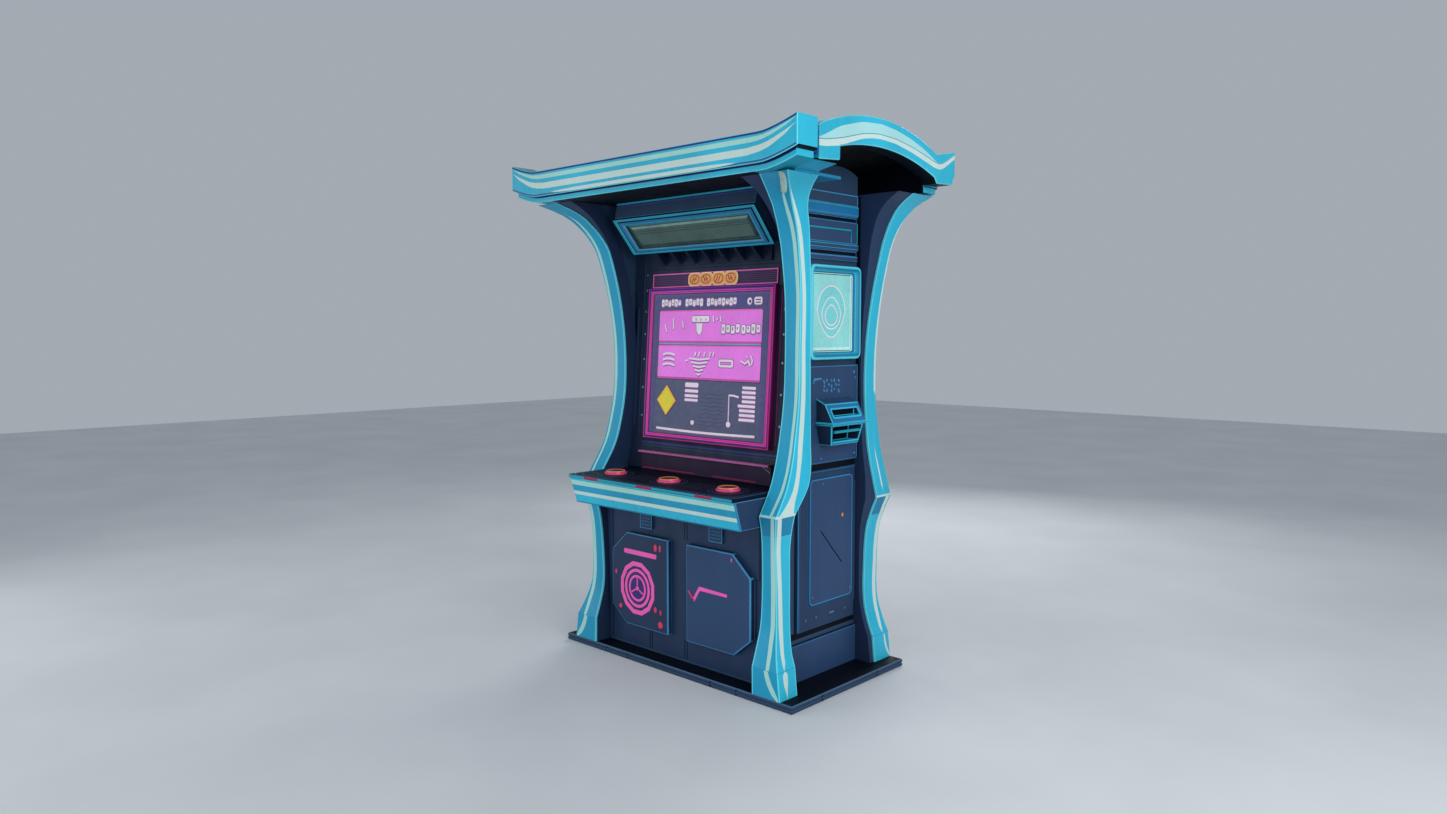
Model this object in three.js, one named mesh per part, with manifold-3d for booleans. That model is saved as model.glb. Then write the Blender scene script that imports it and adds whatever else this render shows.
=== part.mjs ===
// A free-standing three-button arcade cabinet under a pagoda-style canopy.
// Millimetres, +Z up, the player stands on the -Y side, +X is the player's right.
// The origin is on the floor, at the centre of the base plate.
import * as THREE from 'three';
import { mergeVertices } from 'three/addons/utils/BufferGeometryUtils.js';
import Module from 'manifold-3d';

const wasm = await Module();
wasm.setup();

// ---------------------------------------------------------------- driving dimensions
const GAP = 0.3;                 // clearance between pieces that touch

const BASE = { halfX: 683, halfY: 381, top: 32, chamfer: 4 };

// The side walls stand between the posts; the inner liner is 18 mm board.
const WALL = { inner: 505, outer: 523, pad: 535, rear: 236, arcRadius: 320, arcY: 100, arcTop: 2133 };

// The four posts share one silhouette seen from the front. x and w are the outer edge
// and the width of the front face. front is [outer edge, depth] along Y; rear is the outer
// edge only, as the rear posts all start at the back of the side walls.
// A sharp station is a crease, the others are joined by a smooth curve.
const POST_STATIONS = [
  { z: BASE.top + GAP, x: 622, w: 146, front: [381, 112], rear: 381, sharp: true },
  { z: 142, x: 609, w: 135, front: [380, 113], rear: 381, sharp: true },
  { z: 200, x: 586, w: 112, front: [359, 98], rear: 374 },
  { z: 300, x: 563, w: 87, front: [331, 87], rear: 361 },
  { z: 450, x: 559, w: 78, front: [328, 88], rear: 361 },
  { z: 600, x: 561, w: 74, front: [336, 93], rear: 372 },
  { z: 680, x: 573, w: 79, front: [350, 104], rear: 397 },
  { z: 739, x: 588, w: 90, front: [367, 120], rear: 419, sharp: true },
  { z: 840, x: 586, w: 90, front: [302, 140], rear: 383 },
  { z: 920, x: 575, w: 90, front: [258, 128], rear: 368 },
  { z: 1000, x: 567, w: 88, front: [230, 107], rear: 356 },
  { z: 1180, x: 559, w: 84, front: [194, 78], rear: 338 },
  { z: 1400, x: 558, w: 80, front: [189, 72], rear: 343 },
  { z: 1600, x: 575, w: 86, front: [206, 69], rear: 353 },
  { z: 1780, x: 594, w: 93, front: [245, 75], rear: 381 },
  { z: 1860, x: 608, w: 94, front: [277, 84], rear: 402 },
  { z: 1940, x: 636, w: 97, front: [341, 102], rear: 435 },
  { z: 1990, x: 676, w: 115, front: [404, 134], rear: 458 },
  { z: 2027.5, x: 735, w: 135, front: [484, 180], rear: 490, sharp: true },
];
const POST_STEPS = 3;            // loft steps between two stations
const POST_INNER_MAX = 503;      // above the shoulders the post reaches in to the side wall

const FRONT_PANEL = { face: -297, thick: 18, top: 692 };
const FRONT_DOOR = {
  inner: 56, outer: 421.5, bottom: 137, top: 558, chamferX: 99, chamferTop: 88, chamferBottom: 75,
  back: -297.5, thick: 27.5, axisX: 427.5, axisY: -303.5,
};
const FRONT_APERTURE = { inner: 105, outer: 375, bottom: 190, top: 505 };

const SIDE_DOOR = { front: -168, rear: 218.5, bottom: 235, top: 887, axisX: 529.5, axisY: 224.5 };
const SIDE_FIELD = { front: -96, rear: 196, bottom: 333, top: 854, radius: 22, face: 540 };
const SIDE_APERTURE = { front: -110, rear: 180, bottom: 290, top: 850 };
const HINGE = { radius: 5, leafThick: 2.5, frontLeaf: 30, neck: 3, sideRange: [300, 820] };

const DECK = {
  halfX: 493.5, lipY: -512, rearY: -140, top: 824, thick: 15, holeRadius: 45,
  fasciaTop: [-506, 808.7], fasciaBottom: [-470, 693], fasciaThick: 10.5, boxRear: -180, wall: 10,
};
const DECK_BRACKET = { inner: 174, outer: 250, bottom: 585, top: 692, depth: 11 };
const SWITCH_BOARD = {
  halfX: 400, halfY: 28, bottom: 757, top: 765, switchHalf: 20, switchTop: 782,
  legs: [-390, -170, 170, 390],
};
const LEDGE = { halfX: 395, face: -170, back: -158.6, nose: -187, noseFoot: 903, top: 911 };
const BUTTON = {
  y: -370, pitch: 341, capRadius: 43, capTop: 842, skirtBottom: 815, stemRadius: 14, stemBottom: 790,
  rimInner: 44, rimOuter: 50, rimTop: 834,
};

// The screen leans back a little: its group stands at the bezel's lower front edge.
const SCREEN = { y: -172, z: 970, lean: Math.atan(0.069), halfX: 380, height: 682.6, bar: 31, thick: 22 };
const GLASS = { near: 8, far: 14 };
const CHASSIS = { halfX: 345, near: 14.5, far: 95, margin: 32 };
const TITLE = { halfX: 374, near: 19, rise: 4, height: 63 };
const SPEAKER = { halfX: 70, depth: 50, rise: 110, height: 140 };
const SURROUND = { near: 24, far: 42, bottom: -142.5, shoulder: 640, top: 1086 };

// The marquee frame leans out over the player: its group stands at its lower front edge.
const MARQUEE = { y: -185, z: 1804, lean: Math.atan2(124, 144), halfX: 420, height: 190, thick: 15 };
const MARQUEE_LENS = { halfX: 363, bottom: 26, top: 152, overlap: 8 };
const MARQUEE_LAMP = { radius: 13, length: 760, y: -180, z: 1925 };
const RIBS = { each: 3, pitch: 96, halfWidth: 6, stripHalf: 340 };

const LIGHT_BOX = {
  front: -115, rear: 225, bottom: 1342, top: 1725, radius: 26, bar: 34, depth: 34, lensThick: 5, lensGap: 3,
};
const VENT = { front: -140, rear: 222, bottom: 1748, top: 2022 };
const DISPENSER = { front: -56, rear: 170, bottom: 995, flange: 1082, shoulder: 1163, top: 1185 };

const EAVE = {
  halfX: 832, frontY: -553, frontInner: -437, rearY: 535, rearInner: 420,
  bottom: 2052, top: 2163, lip: 24, inset: 20, riseFrom: 660, rise: 42,
};
const GABLE = { inner: 730, outer: 800, frontY: -385, rearY: 553, crest: 2270, radius: 1030 };
const GABLE_SOFFIT = { crest: 2160, radius: 1150 };
const VAULT = { crest: 2262, thick: 14, radius: 1030 };
const CEILING = { rearY: -162, thick: 12 };

// ---------------------------------------------------------------- materials
const COLOURS = {
  cyan: [0x2cb5d6, 0.3, 0.1],
  navy: [0x2a3a5c, 0.5, 0.1],
  darkNavy: [0x141d33, 0.6, 0.1],
  black: [0x070b16, 0.6, 0.1],
  magenta: [0xb8107a, 0.35, 0.1],
  plum: [0x3a1c3c, 0.5, 0.0],
  pink: [0xd9409a, 0.35, 0.0],
  olive: [0x4a4030, 0.4, 0.0],
  screen: [0x2b2c55, 0.15, 0.0],
  lens: [0x4a6a60, 0.3, 0.0],
  lightLens: [0x8fdedb, 0.4, 0.0],
  steel: [0x8f97a3, 0.35, 0.9],
};

function paint(name) {
  const [color, roughness, metalness] = COLOURS[name];
  return new THREE.MeshStandardMaterial({ color, roughness, metalness });
}

// ---------------------------------------------------------------- geometry helpers
const cabinet = new THREE.Group();

function addMesh(name, geometry, colour, parent = cabinet) {
  const mesh = new THREE.Mesh(geometry, paint(colour));
  mesh.name = name;
  parent.add(mesh);
  return mesh;
}

function box(xRange, yRange, zRange) {
  const size = [xRange, yRange, zRange].map(([low, high]) => high - low);
  const middle = [xRange, yRange, zRange].map(([low, high]) => (low + high) / 2);
  return new THREE.BoxGeometry(...size).translate(...middle);
}

// A path is taken as it is; a plain list of points becomes one.
function pathOf(outline, Type) {
  if (outline instanceof THREE.Path) {
    return outline;
  }
  return new Type(outline.map(([a, b]) => new THREE.Vector2(a, b)));
}

function shapeOf(outline, holes = []) {
  const shape = pathOf(outline, THREE.Shape);
  shape.holes.push(...holes.map((hole) => pathOf(hole, THREE.Path)));
  return shape;
}

function extrude(shape, depth, curveSegments = 8) {
  return new THREE.ExtrudeGeometry(shape, { depth, bevelEnabled: false, curveSegments });
}

// An outline of (y, z) points, extruded from x0 to x1.
function prismX(outline, x0, x1, holes) {
  const turn = new THREE.Matrix4().makeBasis(
    new THREE.Vector3(0, 1, 0), new THREE.Vector3(0, 0, 1), new THREE.Vector3(1, 0, 0));
  return extrude(shapeOf(outline, holes), x1 - x0).applyMatrix4(turn).translate(x0, 0, 0);
}

// An outline of (x, z) points, extruded from y0 to y1.
function prismY(outline, y0, y1, holes) {
  const turn = new THREE.Matrix4().makeBasis(
    new THREE.Vector3(1, 0, 0), new THREE.Vector3(0, 0, 1), new THREE.Vector3(0, -1, 0));
  return extrude(shapeOf(outline, holes), y1 - y0).applyMatrix4(turn).translate(0, y1, 0);
}

// An outline of (x, y) points, extruded from z0 to z1.
function prismZ(outline, z0, z1, holes, curveSegments) {
  return extrude(shapeOf(outline, holes), z1 - z0, curveSegments).translate(0, 0, z0);
}

function rectangle(a0, a1, b0, b1) {
  return [[a0, b0], [a1, b0], [a1, b1], [a0, b1]];
}

function roundedRectangle(a0, a1, b0, b1, radius, Type = THREE.Shape) {
  const shape = new Type();
  shape.moveTo(a0 + radius, b0);
  shape.lineTo(a1 - radius, b0);
  shape.absarc(a1 - radius, b0 + radius, radius, -Math.PI / 2, 0);
  shape.lineTo(a1, b1 - radius);
  shape.absarc(a1 - radius, b1 - radius, radius, 0, Math.PI / 2);
  shape.lineTo(a0 + radius, b1);
  shape.absarc(a0 + radius, b1 - radius, radius, Math.PI / 2, Math.PI);
  shape.lineTo(a0, b0 + radius);
  shape.absarc(a0 + radius, b0 + radius, radius, Math.PI, 1.5 * Math.PI);
  return shape;
}

function signedVolume(geometry) {
  const position = geometry.getAttribute('position');
  const [a, b, c] = [new THREE.Vector3(), new THREE.Vector3(), new THREE.Vector3()];
  let volume = 0;
  for (let i = 0; i < geometry.index.count; i += 3) {
    a.fromBufferAttribute(position, geometry.index.getX(i));
    b.fromBufferAttribute(position, geometry.index.getX(i + 1));
    c.fromBufferAttribute(position, geometry.index.getX(i + 2));
    volume += a.dot(b.cross(c)) / 6;
  }
  return volume;
}

// Turns the faces outward, whichever way round the rings were given.
function facingOut(geometry) {
  if (signedVolume(geometry) < 0) {
    geometry.index.array.reverse();
  }
  geometry.computeVertexNormals();
  return geometry;
}

// A closed body through four-cornered rings, each a list of [x, y, z].
function loft(rings) {
  const positions = rings.flat(2);
  const index = [];
  for (let ring = 0; ring + 1 < rings.length; ring += 1) {
    for (let corner = 0; corner < 4; corner += 1) {
      const next = (corner + 1) % 4;
      const [a, b] = [4 * ring + corner, 4 * ring + next];
      index.push(a, b, b + 4, a, b + 4, a + 4);
    }
  }
  const last = 4 * (rings.length - 1);
  index.push(0, 2, 1, 0, 3, 2);
  index.push(last, last + 1, last + 2, last, last + 2, last + 3);
  const geometry = new THREE.BufferGeometry();
  geometry.setAttribute('position', new THREE.Float32BufferAttribute(positions, 3));
  geometry.setIndex(new THREE.BufferAttribute(new Uint32Array(index), 1));
  return facingOut(geometry);
}

function toSolid(geometry) {
  const plain = geometry.clone();
  plain.deleteAttribute('normal');
  plain.deleteAttribute('uv');
  const merged = mergeVertices(plain, 1e-3);
  return new wasm.Manifold(new wasm.Mesh({
    numProp: 3,
    vertProperties: new Float32Array(merged.getAttribute('position').array),
    triVerts: new Uint32Array(merged.index.array),
  }));
}

function toGeometry(solid) {
  const mesh = solid.getMesh();
  const geometry = new THREE.BufferGeometry();
  geometry.setAttribute('position', new THREE.BufferAttribute(new Float32Array(mesh.vertProperties), 3));
  geometry.setIndex(new THREE.BufferAttribute(new Uint32Array(mesh.triVerts), 1));
  geometry.computeVertexNormals();
  return geometry;
}

function joined(...geometries) {
  return toGeometry(geometries.map(toSolid).reduce((whole, piece) => whole.add(piece)));
}

function cut(geometry, ...tools) {
  return toGeometry(tools.map(toSolid).reduce((rest, tool) => rest.subtract(tool), toSolid(geometry)));
}

// The same geometry on the cabinet's other side.
function mirrored(geometry) {
  const copy = geometry.clone().applyMatrix4(new THREE.Matrix4().makeScale(-1, 1, 1));
  if (!copy.index) {
    return facingOut(mergeVertices(copy.deleteAttribute('normal').deleteAttribute('uv'), 1e-4));
  }
  copy.index.array.reverse();
  copy.computeVertexNormals();
  return copy;
}

function addPair(name, geometry, colour) {
  addMesh(`${name}_right`, geometry, colour);
  addMesh(`${name}_left`, mirrored(geometry), colour);
}

// Points of a circular arc over the Y axis whose highest point is (centreY, crest).
function arcOverY(centreY, crest, radius, fromY, toY, steps) {
  const points = [];
  for (let i = 0; i <= steps; i += 1) {
    const y = fromY + ((toY - fromY) * i) / steps;
    points.push([y, crest - radius + Math.sqrt(radius ** 2 - (y - centreY) ** 2)]);
  }
  return points;
}

// ---------------------------------------------------------------- post silhouette
function stationValue(station, key) {
  const [name, item] = key.split('.');
  return item === undefined ? station[name] : station[name][Number(item)];
}

// A Catmull-Rom value between two stations; a crease stops the curve from looking past it.
function between(index, t, key) {
  const at = (i) => stationValue(POST_STATIONS[i], key);
  const before = POST_STATIONS[index].sharp ? index : index - 1;
  const after = POST_STATIONS[index + 1].sharp ? index + 1 : index + 2;
  const zAt = (i) => POST_STATIONS[i].z;
  const span = zAt(index + 1) - zAt(index);
  const slopeIn = (at(index + 1) - at(before)) / (zAt(index + 1) - zAt(before));
  const slopeOut = (at(after) - at(index)) / (zAt(after) - zAt(index));
  const [t2, t3] = [t * t, t * t * t];
  return (2 * t3 - 3 * t2 + 1) * at(index) + (t3 - 2 * t2 + t) * span * slopeIn
    + (3 * t2 - 2 * t3) * at(index + 1) + (t3 - t2) * span * slopeOut;
}

function postLevels() {
  const keys = ['z', 'x', 'w', 'front.0', 'front.1', 'rear'];
  const levels = [];
  POST_STATIONS.slice(0, -1).forEach((station, index) => {
    for (let step = 0; step < POST_STEPS; step += 1) {
      levels.push(keys.map((key) => between(index, step / POST_STEPS, key)));
    }
  });
  levels.push(keys.map((key) => stationValue(POST_STATIONS.at(-1), key)));
  return levels.map(([z, x, w, frontY, frontDepth, rearY]) => ({
    z, x, inner: Math.min(x - w, POST_INNER_MAX), frontY, frontBack: frontY - frontDepth, rearY,
  }));
}

const LEVELS = postLevels();

// The gap between the two posts of a pair, as a closed (x, z) outline.
function betweenPosts(bottom, top, clearance) {
  const levels = LEVELS.filter(({ z }) => z > bottom && z < top);
  const right = levels.map(({ inner, z }) => [inner - clearance, z]);
  const edge = [[right[0][0], bottom], ...right, [right.at(-1)[0], top]];
  return [...edge, ...edge.map(([x, z]) => [-x, z]).reverse()];
}

// ---------------------------------------------------------------- base and posts
function basePlate() {
  const { halfX, halfY, top, chamfer } = BASE;
  const rings = [[0, 0], [top - chamfer, 0], [top, chamfer]].map(([z, inset]) => {
    const [x, y] = [halfX - inset, halfY - inset];
    return [[-x, -y, z], [x, -y, z], [x, y, z], [-x, y, z]];
  });
  addMesh('base_plate', loft(rings), 'darkNavy');
}

function posts() {
  const frontRings = LEVELS.map(({ z, x, inner, frontY, frontBack }) => [
    [inner, -frontY, z], [x, -frontY, z], [x, -frontBack, z], [inner, -frontBack, z]]);
  const rearRings = LEVELS.map(({ z, x, inner, rearY }) => [
    [inner, WALL.rear + GAP, z], [x, WALL.rear + GAP, z], [x, rearY, z], [inner, rearY, z]]);
  addPair('post_front', loft(frontRings), 'cyan');
  addPair('post_rear', loft(rearRings), 'cyan');
}

// ---------------------------------------------------------------- body shell
// A wall's front edge lies against the back of the front post, its top is an arch.
function wallOutline() {
  const head = LEVELS.at(-1);
  const shoulder = [[GAP - head.frontBack, head.z], [CEILING.rearY, head.z]];
  const frontEdge = LEVELS.slice(0, -1).map(({ z, frontBack }) => [GAP - frontBack, z]);
  const archFront = -135;
  const arch = arcOverY(WALL.arcY, WALL.arcTop, WALL.arcRadius, archFront, WALL.rear, 14);
  return [[WALL.rear, BASE.top + GAP], ...frontEdge, ...shoulder, ...arch];
}

function sideWalls() {
  const padRoot = WALL.outer - 8;
  const liner = prismX(wallOutline(), WALL.inner, WALL.outer);
  const kickOutline = [[-256, 33], [235, 33], [235, 184], [229, 190], [-250, 190], [-256, 184]];
  const kickPad = prismX(kickOutline, padRoot, WALL.pad);
  const middlePad = prismX(roundedRectangle(-112, 234, 915, 1318, 6), padRoot, WALL.pad);
  const wall = joined(liner, kickPad, middlePad);
  const aperture = prismX(
    rectangle(SIDE_APERTURE.front, SIDE_APERTURE.rear, SIDE_APERTURE.bottom, SIDE_APERTURE.top), 490, 560);
  addMesh('side_wall_right', cut(wall, aperture), 'darkNavy');
  addMesh('side_wall_left', mirrored(wall), 'darkNavy');
}

function topCover() {
  const { arcY, arcTop, arcRadius, rear } = WALL;
  const thick = 12;
  const outer = arcOverY(arcY, arcTop, arcRadius, -72, rear, 12);
  const inner = arcOverY(arcY, arcTop - thick, arcRadius - thick, -72, rear, 12);
  const half = WALL.inner - GAP;
  addMesh('top_cover', prismX([...outer, ...inner.reverse()], -half, half), 'darkNavy');
}

function rearPanel() {
  addMesh('rear_panel', prismY(betweenPosts(BASE.top + GAP, 2085, 1.5), 237, 255), 'darkNavy');
}

function lowerFrontPanel() {
  const { face, thick, top } = FRONT_PANEL;
  const { inner, outer, bottom, top: high } = FRONT_APERTURE;
  const panel = prismY(betweenPosts(BASE.top + GAP, top, 1.5), face, face + thick);
  const rightBay = box([inner, outer], [face - 10, face + thick + 10], [bottom, high]);
  addMesh('lower_front_panel', cut(panel, rightBay, mirrored(rightBay)), 'navy');
}

// ---------------------------------------------------------------- doors and hinges
function frontDoors() {
  const { inner, outer, bottom, top, chamferX, chamferTop, chamferBottom, back, thick } = FRONT_DOOR;
  const outline = [
    [inner, bottom], [outer - chamferX + 7, bottom], [outer, bottom + chamferBottom],
    [outer, top - chamferTop], [outer - chamferX, top], [inner, top]];
  addPair('front_door', prismY(outline, back - thick, back), 'navy');
}

// A piano hinge: a barrel on the pivot line with its fixed leaf against the body.
function hingeBarrel(x, y, zRange) {
  const length = zRange[1] - zRange[0];
  const barrel = new THREE.CylinderGeometry(HINGE.radius, HINGE.radius, length, 16).rotateX(Math.PI / 2);
  return barrel.translate(x, y, zRange[0] + length / 2);
}

function frontHinges() {
  const { axisX, axisY, bottom, top, chamferBottom, chamferTop } = FRONT_DOOR;
  const zRange = [bottom + chamferBottom + 8, top - chamferTop - 8];
  const against = FRONT_PANEL.face - GAP;
  const leaf = box([axisX, axisX + HINGE.frontLeaf], [against - HINGE.leafThick, against], zRange);
  const neck = box([axisX, axisX + HINGE.neck], [axisY, against], zRange);
  addPair('front_door_hinge', joined(hingeBarrel(axisX, axisY, zRange), neck, leaf), 'darkNavy');
}

// The door's front edge is cropped where the post's knee leans over it.
function sideDoorGeometry() {
  const { front, rear, bottom, top } = SIDE_DOOR;
  const outline = [[front, bottom], [rear, bottom], [rear, top], [-130, top], [-130, 850], [front, 790]];
  const field = SIDE_FIELD;
  const raised = roundedRectangle(field.front, field.rear, field.bottom, field.top, field.radius);
  return joined(prismX(outline, WALL.outer + 0.8, WALL.pad + 0.5), prismX(raised, 530, field.face));
}

function sideDoors() {
  addMesh('access_door', sideDoorGeometry(), 'navy');
  addMesh('side_panel_left', mirrored(sideDoorGeometry()), 'navy');
}

function sideHinge() {
  const { axisX, axisY } = SIDE_DOOR;
  const zRange = HINGE.sideRange;
  const leaf = box([WALL.outer + GAP, WALL.outer + HINGE.leafThick], [axisY, WALL.rear - 1], zRange);
  const neck = box([WALL.outer + GAP, axisX], [axisY - 2, axisY + 2], zRange);
  addMesh('access_door_hinge', joined(hingeBarrel(axisX, axisY, zRange), neck, leaf), 'darkNavy');
}

// ---------------------------------------------------------------- control deck
function deckBox() {
  const { halfX, fasciaTop, fasciaBottom, fasciaThick, boxRear, wall } = DECK;
  const behind = fasciaThick + GAP;
  const floor = fasciaBottom[1];
  const outline = [
    [fasciaTop[0] + behind, fasciaTop[1]], [fasciaBottom[0] + behind, floor],
    [boxRear, floor], [boxRear, fasciaTop[1]]];
  const hollow = [
    [fasciaTop[0] + behind + wall, fasciaTop[1] + 5], [fasciaBottom[0] + behind + wall, floor + wall],
    [boxRear - wall, floor + wall], [boxRear - wall, fasciaTop[1] + 5]];
  const inside = prismX(hollow, -halfX + wall, halfX - wall);
  addMesh('deck_box', cut(prismX(outline, -halfX, halfX), inside), 'navy');
}

function deckFascia() {
  const { halfX, fasciaTop, fasciaBottom, fasciaThick } = DECK;
  const outline = [
    fasciaTop, fasciaBottom,
    [fasciaBottom[0] + fasciaThick, fasciaBottom[1]], [fasciaTop[0] + fasciaThick, fasciaTop[1]]];
  addMesh('deck_fascia', prismX(outline, -halfX, halfX), 'cyan');
}

function deckTop() {
  const { halfX, lipY, rearY, top, thick, holeRadius } = DECK;
  const holes = [-1, 0, 1].map((place) => {
    const hole = new THREE.Path();
    hole.absarc(place * BUTTON.pitch, BUTTON.y, holeRadius, 0, 2 * Math.PI);
    return hole;
  });
  addMesh('deck_top', prismZ(rectangle(-halfX, halfX, lipY, rearY), top - thick, top, holes, 16), 'black');
}

function deckBrackets() {
  const { inner, outer, bottom, top, depth } = DECK_BRACKET;
  const yRange = [FRONT_PANEL.face - depth, FRONT_PANEL.face - GAP];
  const bracket = box([inner, outer], yRange, [bottom, top]);
  addPair('deck_bracket', bracket, 'navy');
}

function buttonCapGeometry() {
  const { capRadius, capTop, skirtBottom, stemRadius, stemBottom } = BUTTON;
  const profile = [
    [0, stemBottom], [stemRadius, stemBottom], [stemRadius, skirtBottom], [capRadius, skirtBottom],
    [capRadius, capTop - 5], [capRadius - 4, capTop - 1], [0, capTop]];
  return new THREE.LatheGeometry(profile.map(([r, z]) => new THREE.Vector2(r, z)), 32).rotateX(Math.PI / 2);
}

function buttonRimGeometry() {
  const { rimInner, rimOuter, rimTop } = BUTTON;
  const foot = DECK.top + GAP;
  const profile = [
    [rimInner + 2, foot], [rimOuter, foot], [rimOuter, rimTop - 3], [rimOuter - 2, rimTop],
    [rimInner, rimTop], [rimInner, foot + 2], [rimInner + 2, foot]];
  return new THREE.LatheGeometry(profile.map(([r, z]) => new THREE.Vector2(r, z)), 32).rotateX(Math.PI / 2);
}

function buttons() {
  const places = { left: -1, centre: 0, right: 1 };
  for (const [side, place] of Object.entries(places)) {
    const station = new THREE.Group();
    station.position.set(place * BUTTON.pitch, BUTTON.y, 0);
    addMesh(`button_rim_${side}`, buttonRimGeometry(), 'pink', station);
    addMesh(`button_cap_${side}`, buttonCapGeometry(), 'olive', station);
    cabinet.add(station);
  }
}

// One board under the deck carries the three switches, on legs from the box's floor.
function switchBoard() {
  const { halfX, halfY, bottom, top, switchHalf, switchTop, legs } = SWITCH_BOARD;
  const yRange = [BUTTON.y - halfY, BUTTON.y + halfY];
  const parts = [box([-halfX, halfX], yRange, [bottom, top])];
  for (const place of [-1, 0, 1]) {
    const x = place * BUTTON.pitch;
    const switchY = [BUTTON.y - switchHalf, BUTTON.y + switchHalf];
    parts.push(box([x - switchHalf, x + switchHalf], switchY, [top - 2, switchTop]));
  }
  for (const x of legs) {
    parts.push(box([x - 8, x + 8], yRange, [DECK.fasciaBottom[1] + DECK.wall + GAP, bottom + 2]));
  }
  addMesh('button_switch_board', joined(...parts), 'steel');
}

function ledgePanel() {
  const { halfX, face, back, nose, noseFoot, top } = LEDGE;
  const foot = DECK.top + GAP;
  const outline = [[face, foot], [back, foot], [back, top], [nose, top], [nose, noseFoot], [face, noseFoot]];
  addMesh('ledge_panel', prismX(outline, -halfX, halfX), 'plum');
}

// ---------------------------------------------------------------- screen
function screenAssembly() {
  const { y, z, lean, halfX, height, bar, thick } = SCREEN;
  const frame = new THREE.Group();
  frame.position.set(0, y, z);
  frame.rotation.x = -lean;

  const opening = [-halfX + bar, halfX - bar, bar - 3, height - bar + 3];
  const bezelOutline = rectangle(-halfX, halfX, 0, height);
  addMesh('screen_bezel', prismY(bezelOutline, 0, thick, [rectangle(...opening)]), 'magenta', frame);
  const [left, right, low, high] = opening;
  const glassDepth = [GLASS.near, GLASS.far];
  const glass = box([left + GAP, right - GAP], glassDepth, [low + GAP, high - GAP]);
  addMesh('screen_glass', glass, 'screen', frame);

  const { margin } = CHASSIS;
  const chassisDepth = [CHASSIS.near, CHASSIS.far];
  const chassis = box([-CHASSIS.halfX, CHASSIS.halfX], chassisDepth, [margin, height - margin]);
  addMesh('monitor_chassis', chassis, 'black', frame);

  const titleFoot = height + TITLE.rise;
  const titleDepth = [TITLE.near, SURROUND.near - GAP];
  const title = box([-TITLE.halfX, TITLE.halfX], titleDepth, [titleFoot, titleFoot + TITLE.height]);
  addMesh('title_strip', title, 'plum', frame);
  addMesh('front_surround', surroundGeometry(), 'darkNavy', frame);

  const speakerDepth = [SURROUND.far + GAP, SURROUND.far + SPEAKER.depth];
  const speakerFoot = height + SPEAKER.rise;
  const speakerZ = [speakerFoot, speakerFoot + SPEAKER.height];
  addMesh('speaker', box([-SPEAKER.halfX, SPEAKER.halfX], speakerDepth, speakerZ), 'black', frame);
  cabinet.add(frame);
}

// Between the posts up to their shoulders, then out to the side walls.
function surroundGeometry() {
  const { near, far, bottom, shoulder, top } = SURROUND;
  const rise = Math.cos(SCREEN.lean);
  const levels = LEVELS.filter((level) => level.z > SCREEN.z + bottom && level.z < SCREEN.z + shoulder);
  const low = levels.map((level) => [level.inner - 2, (level.z - SCREEN.z) / rise]);
  const edge = [[low[0][0], bottom], ...low, [low.at(-1)[0], shoulder], [POST_INNER_MAX, shoulder + 15],
    [POST_INNER_MAX, top]];
  const outline = [...edge, ...edge.map(([x, height]) => [-x, height]).reverse()];
  return prismY(outline, near, far, [rectangle(-350, 350, 27, SCREEN.height - 27)]);
}

// ---------------------------------------------------------------- marquee
function marqueeFront() {
  const { y, z, lean, halfX, height, thick } = MARQUEE;
  const front = new THREE.Group();
  front.position.set(0, y, z);
  front.rotation.x = lean;
  const { halfX: lensX, bottom, top, overlap } = MARQUEE_LENS;
  const hole = [rectangle(-lensX, lensX, bottom, top)];
  addMesh('marquee_frame', prismY(rectangle(-halfX, halfX, 0, height), 0, thick, hole), 'cyan', front);
  const lensRange = [-lensX - overlap, lensX + overlap];
  const lens = box(lensRange, [thick + GAP, thick + 4], [bottom - overlap, top + overlap]);
  addMesh('marquee_lens', lens, 'lens', front);
  cabinet.add(front);
}

function marqueeHousing() {
  const outline = [[-297.5, 1958.5], [-173, 1814], [-92, 1814], [-78, 2026], [-282, 2026]];
  const hollow = [
    [-300, 1946], [-181, 1808], [-166, 1824], [-101, 1824], [-89, 2016], [-273, 2016], [-286, 1963]];
  const half = MARQUEE.halfX - 3;
  const wall = 10;
  const inside = prismX(hollow, -half + wall, half - wall);
  addMesh('marquee_housing', cut(prismX(outline, -half, half), inside), 'navy');
  const { radius, length, y, z } = MARQUEE_LAMP;
  const tube = new THREE.CylinderGeometry(radius, radius, length, 16).rotateZ(Math.PI / 2);
  addMesh('marquee_lamp', tube.translate(0, y, z), 'lightLens');
}

// Seven ribs on one strip hold the marquee from below.
function marqueeBrackets() {
  const { each, pitch, halfWidth, stripHalf } = RIBS;
  const strip = prismX([[-107, 1750], [-95.5, 1750], [-92.5, 1812], [-100, 1812]], -stripHalf, stripHalf);
  const rib = [[-97, 1752], [-107, 1752], [-158, 1790], [-172, 1806], [-166, 1812], [-97, 1812]];
  const ribs = [];
  for (let place = -each; place <= each; place += 1) {
    ribs.push(prismX(rib, place * pitch - halfWidth, place * pitch + halfWidth));
  }
  addMesh('marquee_brackets', joined(strip, ...ribs), 'navy');
}

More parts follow.
